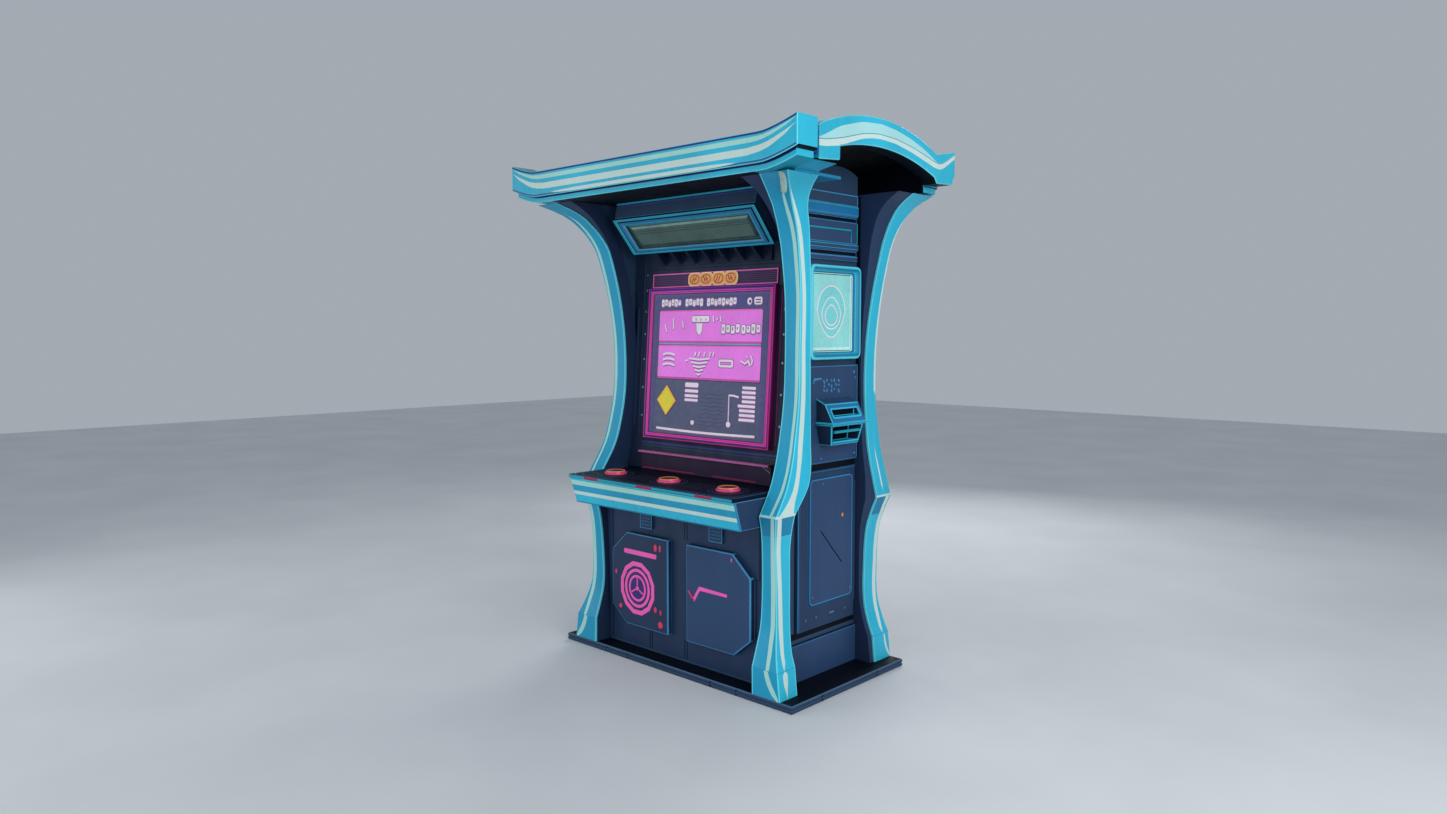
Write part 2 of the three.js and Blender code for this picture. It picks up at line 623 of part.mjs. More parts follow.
// ---------------------------------------------------------------- side fittings
function lightBoxes() {
  const { front, rear, bottom, top, radius, bar, depth, lensThick, lensGap } = LIGHT_BOX;
  const outer = roundedRectangle(front, rear, bottom, top, radius);
  const lensEdge = [front + bar, rear - bar, bottom + bar, top - bar];
  const hole = roundedRectangle(...lensEdge, 8, THREE.Path);
  const face = WALL.outer + GAP;
  addPair('light_box_frame', prismX(outer, face, face + depth, [hole]), 'cyan');
  const [lensFront, lensRear, lensBottom, lensTop] = lensEdge;
  const lens = box(
    [face, face + lensThick], [lensFront + lensGap, lensRear - lensGap],
    [lensBottom + lensGap, lensTop - lensGap]);
  addPair('light_box_lens', lens, 'lightLens');
}

// Pressed louvre bands: an (x, z) profile run along Y.
function vents() {
  const { front, rear, bottom, top } = VENT;
  const face = WALL.outer + GAP;
  const groove = face + 4;
  const proud = WALL.pad;
  const band = proud + 5;
  // How far each step lies above the lower edge, with the depth reached there.
  const steps = [
    [proud, 0], [proud, 20], [groove, 22], [groove, 40], [proud, 43], [band, 50], [band, 66], [proud, 73],
    [proud, 159], [groove, 161], [groove, 179], [proud, 182], [band, 189], [band, 222], [proud, 229]];
  const relief = steps.map(([x, rise]) => [x, bottom + rise]);
  const profile = [[face, bottom], ...relief, [proud, top], [face, top]];
  addPair('vent_panel', prismY(profile, front, rear), 'navy');
}

// A card slot over a tapered pick-up tray.
function dispenser() {
  const { front, rear, bottom, flange, shoulder, top } = DISPENSER;
  const face = WALL.pad + GAP;
  const headOutline = [[face, flange], [621, flange], [621, flange + 11], [583, shoulder], [face, top]];
  const head = prismY(headOutline, front, rear);
  const shelf = box([face, 630], [front - 8, rear + 8], [flange - 4, flange + 5]);
  const level = (x, y, z) => [[x[0], y[0], z], [x[1], y[0], z], [x[1], y[1], z], [x[0], y[1], z]];
  const tray = (lowY, highY, lowX, highX) => loft([level(lowX, lowY, bottom), level(highX, highY, flange)]);
  const hopper = tray([-35, 152], [-56, 170], [face, 599], [face, 616]);
  const mouth = tray([-26, 143], [-46, 160], [face + 10, 700], [face + 10, 700]);
  const mouthRange = box([500, 700], [-100, 250], [bottom + 12, flange - 10]);
  const pickUp = toGeometry(toSolid(mouth).intersect(toSolid(mouthRange)));
  const slot = box([578, 700], [front + 24, rear - 24], [1112, 1143]);
  addMesh('dispenser_housing', cut(joined(head, shelf, hopper), pickUp, slot), 'cyan');
}

// ---------------------------------------------------------------- canopy
// The eaves turn up towards their tips.
function eaveRise(x) {
  const t = Math.max(0, (Math.abs(x) - EAVE.riseFrom) / (EAVE.halfX - EAVE.riseFrom));
  return EAVE.rise * t ** 1.4;
}

function eaveBoard(halfX, yRange, zRange) {
  const from = EAVE.riseFrom;
  const step = (halfX - from) / 5;
  const right = [from, ...[1, 2, 3, 4, 5].map((i) => from + i * step)];
  const places = [...right.map((x) => -x).reverse(), ...right];
  return loft(places.map((x) => {
    const [low, high] = zRange.map((z) => z + eaveRise(x));
    return [[x, yRange[0], low], [x, yRange[1], low], [x, yRange[1], high], [x, yRange[0], high]];
  }));
}

function eaves() {
  const { halfX, frontY, frontInner, rearY, rearInner, bottom, top, lip, inset } = EAVE;
  const lipRange = [bottom - lip, bottom + 10];
  const front = joined(
    eaveBoard(halfX, [frontY, frontInner], [bottom, top]),
    eaveBoard(halfX - inset, [frontY + inset, frontInner - 1], lipRange));
  addMesh('eave_front', front, 'cyan');
  const rearHalf = GABLE.inner - 1;
  const rear = joined(
    eaveBoard(rearHalf, [rearInner, rearY], [bottom, top]),
    eaveBoard(rearHalf - 1, [rearInner + 1, rearY - inset], lipRange));
  addMesh('eave_rear', rear, 'cyan');
}

function gables() {
  const { inner, outer, frontY, rearY, crest, radius } = GABLE;
  const roof = arcOverY(0, crest, radius, frontY, 405, 16);
  const soffit = arcOverY(0, GABLE_SOFFIT.crest, GABLE_SOFFIT.radius, 392, -258, 14);
  const rearTip = [
    [rearY, 2214], [rearY, 2106], [rearY - 12, 2104], [rearY - 24, 2074], [411, 2068]];
  const frontFoot = [[-265, 2080], [frontY, 2070]];
  const arch = prismX([...roof, ...rearTip, ...soffit, ...frontFoot], inner, outer);
  const tenon = box([inner + 5, outer - 10], [EAVE.frontInner + GAP, frontY + 20], [2090, 2172]);
  addPair('gable', joined(arch, tenon), 'cyan');
}

function roofVault() {
  const { crest, thick, radius } = VAULT;
  const [from, to] = [EAVE.frontInner + GAP, EAVE.rearInner - GAP];
  const outer = arcOverY(0, crest, radius, from, to, 20);
  const inner = arcOverY(0, crest - thick, radius - thick, to, from, 20);
  const half = GABLE.inner - GAP;
  addMesh('roof_vault', prismX([...outer, ...inner], -half, half), 'darkNavy');
}

// A flat board on the front posts' heads closes the canopy from below.
function canopyCeiling() {
  const half = GABLE.inner - GAP;
  const foot = POST_STATIONS.at(-1).z + GAP;
  const board = box([-half, half], [EAVE.frontInner + GAP, CEILING.rearY], [foot, foot + CEILING.thick]);
  addMesh('canopy_ceiling', board, 'darkNavy');
}

// ---------------------------------------------------------------- inside the cabinet
function interior() {
  addMesh('service_shelf', box([-503, 503], [-235, 235], [660, 678]), 'darkNavy');
  addMesh('game_computer', box([-210, 150], [-120, 180], [678 + GAP, 790]), 'steel');
  addMesh('power_supply', box([150, 330], [20, 200], [BASE.top + GAP, 130]), 'steel');
  addMesh('cash_box', box([-340, -130], [-255, -20], [BASE.top + GAP, 250]), 'steel');
  addMesh('card_magazine', box([400, WALL.inner - GAP], [-50, 165], [960, 1240]), 'black');
  addMesh('power_inlet', box([330, 390], [255 + GAP, 268], [120, 172]), 'black');
}

basePlate();
posts();
sideWalls();
topCover();
rearPanel();
lowerFrontPanel();
frontDoors();
frontHinges();
sideDoors();
sideHinge();
deckBox();
deckFascia();
deckTop();
deckBrackets();
buttons();
switchBoard();
ledgePanel();
screenAssembly();
marqueeFront();
marqueeHousing();
marqueeBrackets();
lightBoxes();
vents();
dispenser();
eaves();
gables();
roofVault();
canopyCeiling();
interior();

export default cabinet;
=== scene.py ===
import math

import bmesh
import bpy
from mathutils import Matrix, Vector


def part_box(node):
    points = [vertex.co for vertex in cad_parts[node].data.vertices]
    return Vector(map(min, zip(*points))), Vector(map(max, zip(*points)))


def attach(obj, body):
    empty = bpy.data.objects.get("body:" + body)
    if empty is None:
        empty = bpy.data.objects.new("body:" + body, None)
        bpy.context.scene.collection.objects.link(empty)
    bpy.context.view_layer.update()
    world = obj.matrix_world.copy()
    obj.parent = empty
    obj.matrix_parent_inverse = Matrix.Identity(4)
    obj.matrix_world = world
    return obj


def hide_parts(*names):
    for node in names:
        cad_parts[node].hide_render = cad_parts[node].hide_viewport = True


# A free-standing three-button arcade cabinet under a pagoda-style canopy.
# Metres, +Z up, the player stands on the -Y side, +X is the player's right.
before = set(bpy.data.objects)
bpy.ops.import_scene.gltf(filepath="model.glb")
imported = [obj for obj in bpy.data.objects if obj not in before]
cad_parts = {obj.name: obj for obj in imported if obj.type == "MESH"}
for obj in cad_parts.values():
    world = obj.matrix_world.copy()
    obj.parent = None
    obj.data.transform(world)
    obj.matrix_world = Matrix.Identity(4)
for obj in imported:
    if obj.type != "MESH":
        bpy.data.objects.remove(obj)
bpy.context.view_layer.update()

SIDES = {"right": 1, "left": -1}


# ------------------------------------------------------------------ colours and materials
def linear(code):
    """A #rrggbb colour as linear red, green, blue and alpha."""
    values = [int(code[i:i + 2], 16) / 255 for i in (1, 3, 5)]
    return [v / 12.92 if v <= 0.04045 else ((v + 0.055) / 1.055) ** 2.4 for v in values] + [1.0]


class Finish:
    """A material's node tree, with short ways to add nodes to it."""

    def __init__(self, name):
        self.material = bpy.data.materials.new(name)
        self.material.use_nodes = True
        self.tree = self.material.node_tree
        self.shader = self.tree.nodes["Principled BSDF"]
        self.place = self.node("TexCoord", {}).outputs["Object"]

    def feed(self, target, key, value):
        if isinstance(value, bpy.types.NodeSocket):
            self.tree.links.new(value, target.inputs[key])
        else:
            target.inputs[key].default_value = value

    def node(self, kind, inputs, **settings):
        made = self.tree.nodes.new("ShaderNode" + kind)
        for key, value in settings.items():
            setattr(made, key, value)
        for key, value in inputs.items():
            self.feed(made, key, value)
        return made

    def noise(self, scale, detail=3.0, stretch=(1, 1, 1)):
        place = self.node("Mapping", {"Vector": self.place, "Scale": stretch}).outputs["Vector"]
        made = self.node("TexNoise", {"Vector": place, "Scale": scale, "Detail": detail})
        return made.outputs["Fac"]

    def ramp(self, value, stops):
        made = self.node("ValToRGB", {"Fac": value})
        elements = made.color_ramp.elements
        while len(elements) < len(stops):
            elements.new(0.5)
        for element, (position, colour) in zip(elements, stops):
            element.position = position
            element.color = colour
        return made.outputs["Color"]

    def spread(self, value, low, high, from_low=0.35, from_high=0.65):
        made = self.node("MapRange", {
            "Value": value, "From Min": from_low, "From Max": from_high, "To Min": low, "To Max": high})
        return made.outputs["Result"]

    def mix(self, share, first, second):
        # A colour mix takes its two colours at inputs 6 and 7 and gives the result at output 2.
        made = self.node("Mix", {"Factor": share, 6: first, 7: second}, data_type="RGBA")
        return made.outputs[2]

    def bump(self, height, strength, distance=0.001):
        made = self.node("Bump", {"Height": height, "Strength": strength, "Distance": distance})
        return made.outputs["Normal"]

    def surface(self, **inputs):
        for key, value in inputs.items():
            self.feed(self.shader, key.replace("_", " "), value)
        return self.material


def shade(code, amount):
    """The colour, lighter for a positive amount and darker for a negative one."""
    colour = linear(code)
    return [min(1.0, part * (1 + amount)) for part in colour[:3]] + [1.0]


def paint(name, code, rough=0.4, vary=0.14, specular=0.22):
    """Sprayed paint: broad tone changes, orange peel, and small rubbed specks."""
    finish = Finish(name)
    clouds = finish.noise(3.2, 5.0, (1, 1, 0.35))
    tone = finish.ramp(clouds, [(0.30, shade(code, -vary)), (0.5, linear(code)), (0.72, shade(code, vary))])
    specks = finish.spread(finish.noise(160.0, 2.0), 0.0, 0.25, 0.66, 0.78)
    smears = finish.noise(14.0, 4.0, (1, 1, 0.2))
    return finish.surface(
        Base_Color=finish.mix(specks, tone, shade(code, 0.9)),
        Roughness=finish.spread(smears, rough - 0.07, rough + 0.09),
        Specular_IOR_Level=specular,
        Normal=finish.bump(finish.noise(620.0, 2.0), 0.12))


def plastic(name, code, rough=0.35, vary=0.06, grain=900.0, specular=0.45):
    """Moulded plastic: nearly even colour with a fine pebbled grain."""
    finish = Finish(name)
    tone = finish.ramp(finish.noise(9.0, 3.0), [(0.3, shade(code, -vary)), (0.7, shade(code, vary))])
    return finish.surface(
        Base_Color=tone,
        Roughness=finish.spread(finish.noise(30.0, 3.0), rough - 0.05, rough + 0.08),
        Specular_IOR_Level=specular,
        Normal=finish.bump(finish.noise(grain, 1.0), 0.18, 0.0004))


def glowing(name, code, strength, rough=0.3):
    """A back-lit surface, or a print given a faint painted glow so that it keeps its colour in shade, with a
    faint halftone.
    """
    finish = Finish(name)
    tone = finish.ramp(finish.noise(7.0, 4.0), [(0.3, shade(code, -0.10)), (0.7, shade(code, 0.08))])
    dots = finish.spread(finish.noise(420.0, 1.0), 0.0, 0.18, 0.45, 0.7)
    colour = finish.mix(dots, tone, shade(code, -0.3))
    return finish.surface(
        Base_Color=colour, Emission_Color=colour, Emission_Strength=strength,
        Roughness=finish.spread(finish.noise(60.0, 2.0), rough - 0.05, rough + 0.07),
        Specular_IOR_Level=0.4)


def metal(name, code, rough):
    """Drawn metal with lines along one direction."""
    finish = Finish(name)
    lines = finish.noise(90.0, 3.0, (1, 1, 30))
    tone = finish.ramp(lines, [(0.3, shade(code, -0.25)), (0.7, shade(code, 0.15))])
    return finish.surface(
        Base_Color=tone, Metallic=0.9, Roughness=finish.spread(lines, rough - 0.08, rough + 0.12),
        Normal=finish.bump(lines, 0.1, 0.0003))


# Each row is a colour, then the kind's own values in its function's order.
PAINTS = {
    "cyan": ("#2eb4d2", 0.32),
    # cyan_front: painted shade on the posts' front and rear faces and the canopy brackets, and a plain blue
    # band on the deck fascia.
    "cyan_front": ("#2098bd", 0.34, 0.18),
    "cyan_deep": ("#1c7fa6", 0.36),
    # cyan_edge: a painted highlight on corners and edges.
    "cyan_edge": ("#63d3e2", 0.30),
    "teal": ("#1c93aa", 0.36),
    "azure": ("#1d6c9e", 0.38),
    "mint": ("#a6d9cf", 0.34, 0.07),
    "white": ("#c6dcd6", 0.32, 0.05),
    "pale_cyan": ("#a4d8da", 0.34, 0.06),
    "indigo": ("#29307c", 0.42),
    "navy": ("#1d2e4c", 0.48),
    "navy_light": ("#2a4468", 0.46),
    "navy_mid": ("#223756", 0.48),
    "navy_dark": ("#18273f", 0.52),
    # navy_edge: a painted highlight along bevels and edges, and the marks on the dispenser's pad.
    "navy_edge": ("#3d86b6", 0.40),
    "slate": ("#29405c", 0.48),
    "pale_slate": ("#43607f", 0.46),
    "seam": ("#0b1a34", 0.55, 0.25),
    "ink": ("#040917", 0.60, 0.25, 0.12),
    "magenta": ("#c6178a", 0.34, 0.16),
    "magenta_light": ("#ea44ae", 0.32, 0.08),
    "magenta_dark": ("#7a105e", 0.38),
    "purple": ("#7c1f94", 0.36, 0.2),
    "plum": ("#281739", 0.50, 0.16),
    "plum_light": ("#4b3060", 0.46),
    "mauve": ("#b0609c", 0.38),
    "crimson": ("#99204a", 0.40),
    "disc": ("#3a2f72", 0.45),
    "grey": ("#565c68", 0.5),
}
PLASTICS = {
    "black": ("#030a1b", 0.55, 0.2, 500.0, 0.15),
    "pink_plastic": ("#d8447c", 0.30),
    "orange_plastic": ("#e98450", 0.30),
    "olive_plastic": ("#453627", 0.36),
    "lens": ("#3c5a54", 0.24, 0.2, 300.0),
    "lens_light": ("#70938a", 0.26, 0.2, 300.0),
    "lens_dark": ("#173b42", 0.30, 0.2, 300.0),
    "lamp_glass": ("#9fbdb2", 0.25, 0.1, 300.0),
    "socket": ("#101216", 0.5),
}
# The display and the light boxes are lit from within; the door marks and the title strip's marks are prints
# with a faint painted glow.
PRINTS = {
    "pink_line": ("#ee5cb4", 0.05, 0.35),
    "red_line": ("#e0305f", 0.02, 0.35),
    "screen": ("#3b456b", 0.05),
    "screen_top": ("#37347a", 0.05),
    "screen_pink": ("#e070dc", 0.14),
    "screen_rose": ("#c43aa8", 0.07),
    "screen_white": ("#e2d4e0", 0.12),
    "screen_shade": ("#7d4f92", 0.03, 0.35),
    "screen_dark": ("#24264c", 0.02, 0.35),
    "screen_line": ("#6b9cc0", 0.05),
    "yellow": ("#e0cc00", 0.08),
    "amber": ("#eaa14a", 0.05),
    "pale_amber": ("#f2dfae", 0.05),
    "rust": ("#a4352c", 0.02),
    "glow_lens": ("#8cd2cf", 0.08),
    "glow_rim": ("#b7e6dc", 0.10),
    "glow_disc": ("#76cbcd", 0.08),
    "glow_line": ("#e8d5dd", 0.12),
}
METALS = {
    "rivet": ("#6f8fae", 0.4),
    "steel": ("#8f97a3", 0.35),
}
MATERIALS = {}
for make, rows in ((paint, PAINTS), (plastic, PLASTICS), (glowing, PRINTS), (metal, METALS)):
    for material_name, values in rows.items():
        MATERIALS[material_name] = make(material_name, *values)


# ------------------------------------------------------------------ outlines
def rectangle(a0, a1, b0, b1):
    return [(a0, b0), (a1, b0), (a1, b1), (a0, b1)]


def arc(centre, radius, start, end, steps):
    """Points of an arc, angles in degrees."""
    angles = [math.radians(start + (end - start) * i / steps) for i in range(steps + 1)]
    return [(centre[0] + radius * math.cos(t), centre[1] + radius * math.sin(t)) for t in angles]


def rounded(a0, a1, b0, b1, radius, steps=5):
    points = arc((a1 - radius, b0 + radius), radius, -90, 0, steps)
    points += arc((a1 - radius, b1 - radius), radius, 0, 90, steps)
    points += arc((a0 + radius, b1 - radius), radius, 90, 180, steps)
    return points + arc((a0 + radius, b0 + radius), radius, 180, 270, steps)


def ellipse(centre, half_a, half_b, count=24, turn=0.0):
    angles = [2 * math.pi * (i + turn) / count for i in range(count)]
    return [(centre[0] + half_a * math.cos(t), centre[1] + half_b * math.sin(t)) for t in angles]


def circle(centre, radius, count=24):
    return ellipse(centre, radius, radius, count)


def stroke(points, width):
    """The outline of a line of that width with square ends."""
    left, right = [], []
    for i, point in enumerate(points):
        before = Vector(points[max(i - 1, 0)])
        after = Vector(points[min(i + 1, len(points) - 1)])
        along = (after - before).normalized()
        half = width / 2
        if 0 < i < len(points) - 1:
            bend = (Vector(point) - before).normalized().dot(along)
            half /= max(bend, 0.35)
        across = Vector((-along.y, along.x)) * half
        left.append(tuple(Vector(point) + across))
        right.append(tuple(Vector(point) - across))
    return left + right[::-1]


def table(rows, place):
    """A value read off rows of (place, value, ...) by straight lines between them."""
    if place <= rows[0][0]:
        return rows[0][1:]
    for low, high in zip(rows, rows[1:]):
        if place <= high[0]:
            share = (place - low[0]) / (high[0] - low[0])
            return tuple(a + (b - a) * share for a, b in zip(low[1:], high[1:]))
    return rows[-1][1:]


def steps_between(low, high, count):
    return [low + (high - low) * i / count for i in range(count + 1)]


def around(middle, half):
    return (middle - half, middle + half)


def span(side, near, far):
    """Two distances from the middle as the low and the high x on that side."""
    return sorted((side * near, side * far))


def inset(edges, by):
    """The edges (low a, high a, low b, high b) moved inwards."""
    return (edges[0] + by, edges[1] - by, edges[2] + by, edges[3] - by)


# Where an outline's two numbers and its depth go: (a, b, depth) to (x, y, z).
def facing_y(a, b, depth):
    return (a, depth, b)


def facing_x(a, b, depth):
    return (depth, a, b)


def facing_z(a, b, depth):
    return (a, b, depth)


# ------------------------------------------------------------------ shapes and pieces
class Shape:
    """Closed shells of one piece. Each face knows its place in the piece's list of materials."""

    def __init__(self):
        self.verts = []
        self.faces = []
        self.slots = []

    def add(self, verts, faces, slots):
        start = len(self.verts)
        self.verts += [tuple(v) for v in verts]
        self.faces += [[start + i for i in face] for face in faces]
        self.slots += slots
        return self

    def loft(self, rings, slot=0, slot_of=None, closed=False):
        """A skin through rings of equal length. slot_of picks each face's material: a list with one
        for each side, or a function of side and ring. The end caps take slot."""
        def slot_at(side, ring):
            if isinstance(slot_of, list):
                return slot_of[side]
            return slot_of(side, ring) if slot_of else slot

        count = len(rings[0])
        faces, slots = [], []
        spans = len(rings) if closed else len(rings) - 1
        for ring in range(spans):
            after = (ring + 1) % len(rings)
            for side in range(count):
                beside = (side + 1) % count
                faces.append([ring * count + side, ring * count + beside,
                              after * count + beside, after * count + side])
                slots.append(slot_at(side, ring))
        if not closed:
            faces += [list(range(count))[::-1], [(len(rings) - 1) * count + i for i in range(count)]]
            slots += [slot, slot]
        return self.add([v for ring in rings for v in ring], faces, slots)

    def prism(self, outline, low, high, place, slot=0):
        return self.loft([[place(a, b, depth) for a, b in outline] for depth in (low, high)], slot)

    def frame(self, steps, place, slot_of=None):
        """A closed bar that follows outlines of equal length; steps are (outline, depth, material)."""
        rings = [[place(*outline[i], depth) for outline, depth, _ in steps] for i in range(len(steps[0][0]))]
        return self.loft(rings, 0, slot_of or [slot for _, _, slot in steps], closed=True)

    def rim(self, outer, inner, low, high, place, slot=0):
        """A flat ring between two outlines."""
        corners = ((outer, low), (outer, high), (inner, high), (inner, low))
        return self.frame([(outline, depth, slot) for outline, depth in corners], place)

    def box(self, x, y, z, slot=0):
        return self.prism(rectangle(*x, *z), *y, facing_y, slot)

    def dome(self, centre, radius, height, place, slot=0):
        """A rivet's head: low rounded cap standing on its outline."""
        a, b, depth = centre
        rings = []
        for share, lift in ((1.0, 0.0), (1.0, 0.35), (0.8, 0.8), (0.45, 1.0), (0.1, 1.02)):
            outline = circle((a, b), radius * share, 14)
            rings.append([place(p, q, depth + lift * height) for p, q in outline])
        return self.loft(rings, slot)

    def lathe(self, profile, centre, sides, slots=None):
        """A solid of revolution about the vertical line through centre; profile is (radius, z)."""
        rings = []
        for i in range(sides):
            angle = 2 * math.pi * i / sides
            rings.append([(centre[0] + r * math.cos(angle), centre[1] + r * math.sin(angle), z)
                          for r, z in profile])
        return self.loft(rings, 0, slots, closed=True)


# How far a mark stands out of its face if nothing else is said, and how far it reaches into it.
MARK = 0.0014
ROOT = 0.0006


class Marks(Shape):
    """Flat marks standing a little proud of one face. outward is the way that the face looks."""

    def __init__(self, face, place=facing_y, outward=-1):
        super().__init__()
        self.face = face
        self.place = place
        self.outward = outward

    def depths(self, height):
        return sorted((self.face - self.outward * ROOT, self.face + self.outward * height))

    def mark(self, outline, height=MARK, slot=0):
        return self.prism(outline, *self.depths(height), self.place, slot)

    def ring(self, outer, inner, height=MARK, slot=0):
        return self.rim(outer, inner, *self.depths(height), self.place, slot)


def in_scene(name, data):
    made = bpy.data.objects.new(name, data)
    bpy.context.scene.collection.objects.link(made)
    return made


def piece(name, shape, materials, body="cabinet", stands_for=(), bevel=0.0, edge=None, sharp=32):
    """Makes a shape into an object that rides on a body. edge is the bevel's own material, a lighter colour
    that paints a highlight along the edges.
    """
    mesh = bpy.data.meshes.new(name)
    mesh.from_pydata(shape.verts, [], shape.faces)
    mesh.polygons.foreach_set("material_index", shape.slots)
    for material in materials + ([edge] if edge else []):
        mesh.materials.append(MATERIALS[material])
    shells = bmesh.new()
    shells.from_mesh(mesh)
    bmesh.ops.recalc_face_normals(shells, faces=shells.faces)
    shells.to_mesh(mesh)
    shells.free()
    mesh.polygons.foreach_set("use_smooth", [True] * len(mesh.polygons))
    mesh.set_sharp_from_angle(angle=math.radians(sharp))
    made = in_scene(name, mesh)
    if bevel:
        soften = made.modifiers.new("edges", "BEVEL")
        soften.width = bevel
        soften.segments = 2
        soften.limit_method = "ANGLE"
        soften.angle_limit = math.radians(sharp)
        soften.harden_normals = True
        soften.material = len(materials) if edge else -1
    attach(made, body)
    if stands_for:
        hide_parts(*stands_for)


def cad_shape(node, slot_of=None, whole=True):
    """The node's solid, its flat faces made whole if asked. slot_of(centre, normal) picks materials."""
    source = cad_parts[node].data
    mesh = bmesh.new()
    for vertex in source.vertices:
        mesh.verts.new(vertex.co)
    mesh.verts.ensure_lookup_table()
    for polygon in source.polygons:
        corners = [mesh.verts[i] for i in polygon.vertices]
        if mesh.faces.get(corners) is None:
            mesh.faces.new(corners)
    bmesh.ops.remove_doubles(mesh, verts=mesh.verts, dist=2e-5)
    bmesh.ops.recalc_face_normals(mesh, faces=mesh.faces)
    if whole:
        bmesh.ops.dissolve_limit(mesh, angle_limit=math.radians(0.8), verts=mesh.verts, edges=mesh.edges)
    mesh.verts.index_update()
    mesh.normal_update()
    shape = Shape()
    faces = [[v.index for v in face.verts] for face in mesh.faces]
    slots = [slot_of(face.calc_center_median(), face.normal) if slot_of else 0 for face in mesh.faces]
    shape.add([v.co for v in mesh.verts], faces, slots)
    mesh.free()
    return shape


def refined(node, materials, body="cabinet", bevel=0.002, edge=None, slot_of=None, extra=None):
    """The node's own solid with softened edges, and extra shells on it if there are any."""
    shape = cad_shape(node, slot_of, bevel > 0)
    if extra:
        shape.add(extra.verts, extra.faces, extra.slots)
    piece(node + "_body", shape, materials, body, (node,), bevel, edge)


def box_of(node):
    low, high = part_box(node)
    return [(low[i], high[i]) for i in range(3)]


# ------------------------------------------------------------------ base
def base_plate():
    (x0, x1), (y0, y1), (z0, z1) = box_of("base_plate")
    # (height, inset, material): a foot slab, a groove and a top slab with a lighter edge, a painted
    # highlight.
    steps = [(z0, 0.004, 1), (0.003, 0.0, 0), (0.013, 0.0, 1), (0.0145, 0.003, 3), (0.0165, 0.003, 1),
             (0.018, 0.0, 0), (0.0275, 0.0, 1), (0.0295, 0.0015, 1), (z1, 0.004, 2)]
    rings = [[(x, y, z) for x, y in rectangle(*inset((x0, x1, y0, y1), by))] for z, by, _ in steps]
    shape = Shape().loft(rings, 2, lambda side, ring: steps[ring][2])
    piece("base_slab", shape, ["slate", "pale_slate", "ink", "black"],
          stands_for=("base_plate",))
    # Each joint of the edging is a dark line with a lighter one beside it, which is a painted highlight.
    seams = Shape()
    skin = 0.0004
    heights = (0.003, 0.0285)
    joint = ((-0.003, 0.001, 0), (0.001, 0.0035, 1))
    for x in (-0.400, -0.256, 0.252, 0.396):
        for y in (y0 + skin, y1 - skin):
            for low, high, slot in joint:
                seams.box((x + low, x + high), around(y, skin), heights, slot)
    for y in (-0.19, 0.19):
        for x in (x0 + skin, x1 - skin):
            for low, high, slot in joint:
                seams.box(around(x, skin), (y + low, y + high), heights, slot)
    piece("base_seams", seams, ["ink", "navy_edge"])


# ------------------------------------------------------------------ posts
# Heights of the foot's top, of the knee and of the lower edge of the dark band under the knee, which is
# painted shade.
FOOT_TOP = 0.142
KNEE = 0.739
BAND_LOW = 0.663
# Sizes across the post's faces and joints: creases and lines, soft corners, and the navy faces' step back.
CREASE = 0.0008
KNEE_LINE = 0.009
CORNER = 0.004
EDGE_LINE = 0.005
REBATE = 0.004
RECESS = 0.008

# Above the shoulder the front post reaches in behind its cyan face: (height, face width).
FACE_WIDTH = [(1.78, 0.093), (1.86, 0.094), (1.94, 0.097), (1.99, 0.115), (2.0275, 0.135)]
# The rear post's cyan side face: (height, depth).
REAR_DEPTH = [(0.032, 0.120), (0.142, 0.118), (0.20, 0.112), (0.30, 0.100), (0.45, 0.096), (0.60, 0.096),
              (0.739, 0.107), (0.84, 0.102), (1.00, 0.090), (1.18, 0.082), (1.40, 0.078), (1.60, 0.073),
              (1.78, 0.071), (1.86, 0.078), (1.94, 0.095), (1.99, 0.116), (2.0275, 0.150)]

# Stripes, as (height, near edge, far edge) measured from the post's outer corner.
FACE_STRIPE = {
    "foot": [(0.032, 0.0045, 0.014), (0.050, 0.011, 0.037), (0.070, 0.022, 0.050), (0.090, 0.033, 0.060),
             (0.115, 0.042, 0.067), (0.142, 0.049, 0.070)],
    "leg": [(0.142, 0.044, 0.060), (0.20, 0.024, 0.044), (0.30, 0.008, 0.029), (0.45, 0.004, 0.027),
            (0.60, 0.004, 0.025), (0.739, 0.009, 0.026)],
    "upper": [(0.739, 0.024, 0.038), (0.83, 0.015, 0.029), (0.90, 0.013, 0.026), (1.04, 0.011, 0.025),
              (1.30, 0.006, 0.023), (1.60, 0.006, 0.023), (1.80, 0.010, 0.028), (1.90, 0.018, 0.036),
              (1.96, 0.028, 0.040), (1.985, 0.034, 0.0345)],
}
SIDE_STRIPE = {
    "foot": [(0.032, 0.050, 0.0504), (0.045, 0.048, 0.052), (0.060, 0.043, 0.053), (0.090, 0.034, 0.058),
             (0.130, 0.031, 0.062), (0.137, 0.046, 0.0464)],
    "leg": [(0.142, 0.043, 0.0434), (0.160, 0.036, 0.052), (0.20, 0.026, 0.047), (0.30, 0.013, 0.038),
            (0.45, 0.009, 0.033), (0.60, 0.005, 0.030), (0.739, 0.010, 0.036)],
    "upper": [(0.739, 0.008, 0.108), (0.757, 0.024, 0.098), (0.79, 0.036, 0.082), (0.83, 0.042, 0.074),
              (0.90, 0.036, 0.060), (1.00, 0.021, 0.050), (1.15, 0.013, 0.040), (1.40, 0.011, 0.034),
              (1.60, 0.010, 0.032), (1.78, 0.006, 0.029), (1.87, 0.005, 0.026), (1.93, 0.004, 0.020),
              (1.975, 0.004, 0.008), (1.985, 0.004, 0.0044)],
}
# On the rear posts the upper side stripe is a short slim drop, with a square-ended line above it.
REAR_DROP = [(0.77, 0.052, 0.0524), (0.79, 0.046, 0.056), (0.85, 0.045, 0.055), (0.92, 0.046, 0.053),
             (0.96, 0.048, 0.0484), (1.195, 0.006, 0.0064), (1.200, 0.004, 0.018),
             (1.50, 0.004, 0.016), (1.90, 0.004, 0.012), (1.96, 0.004, 0.0044)]
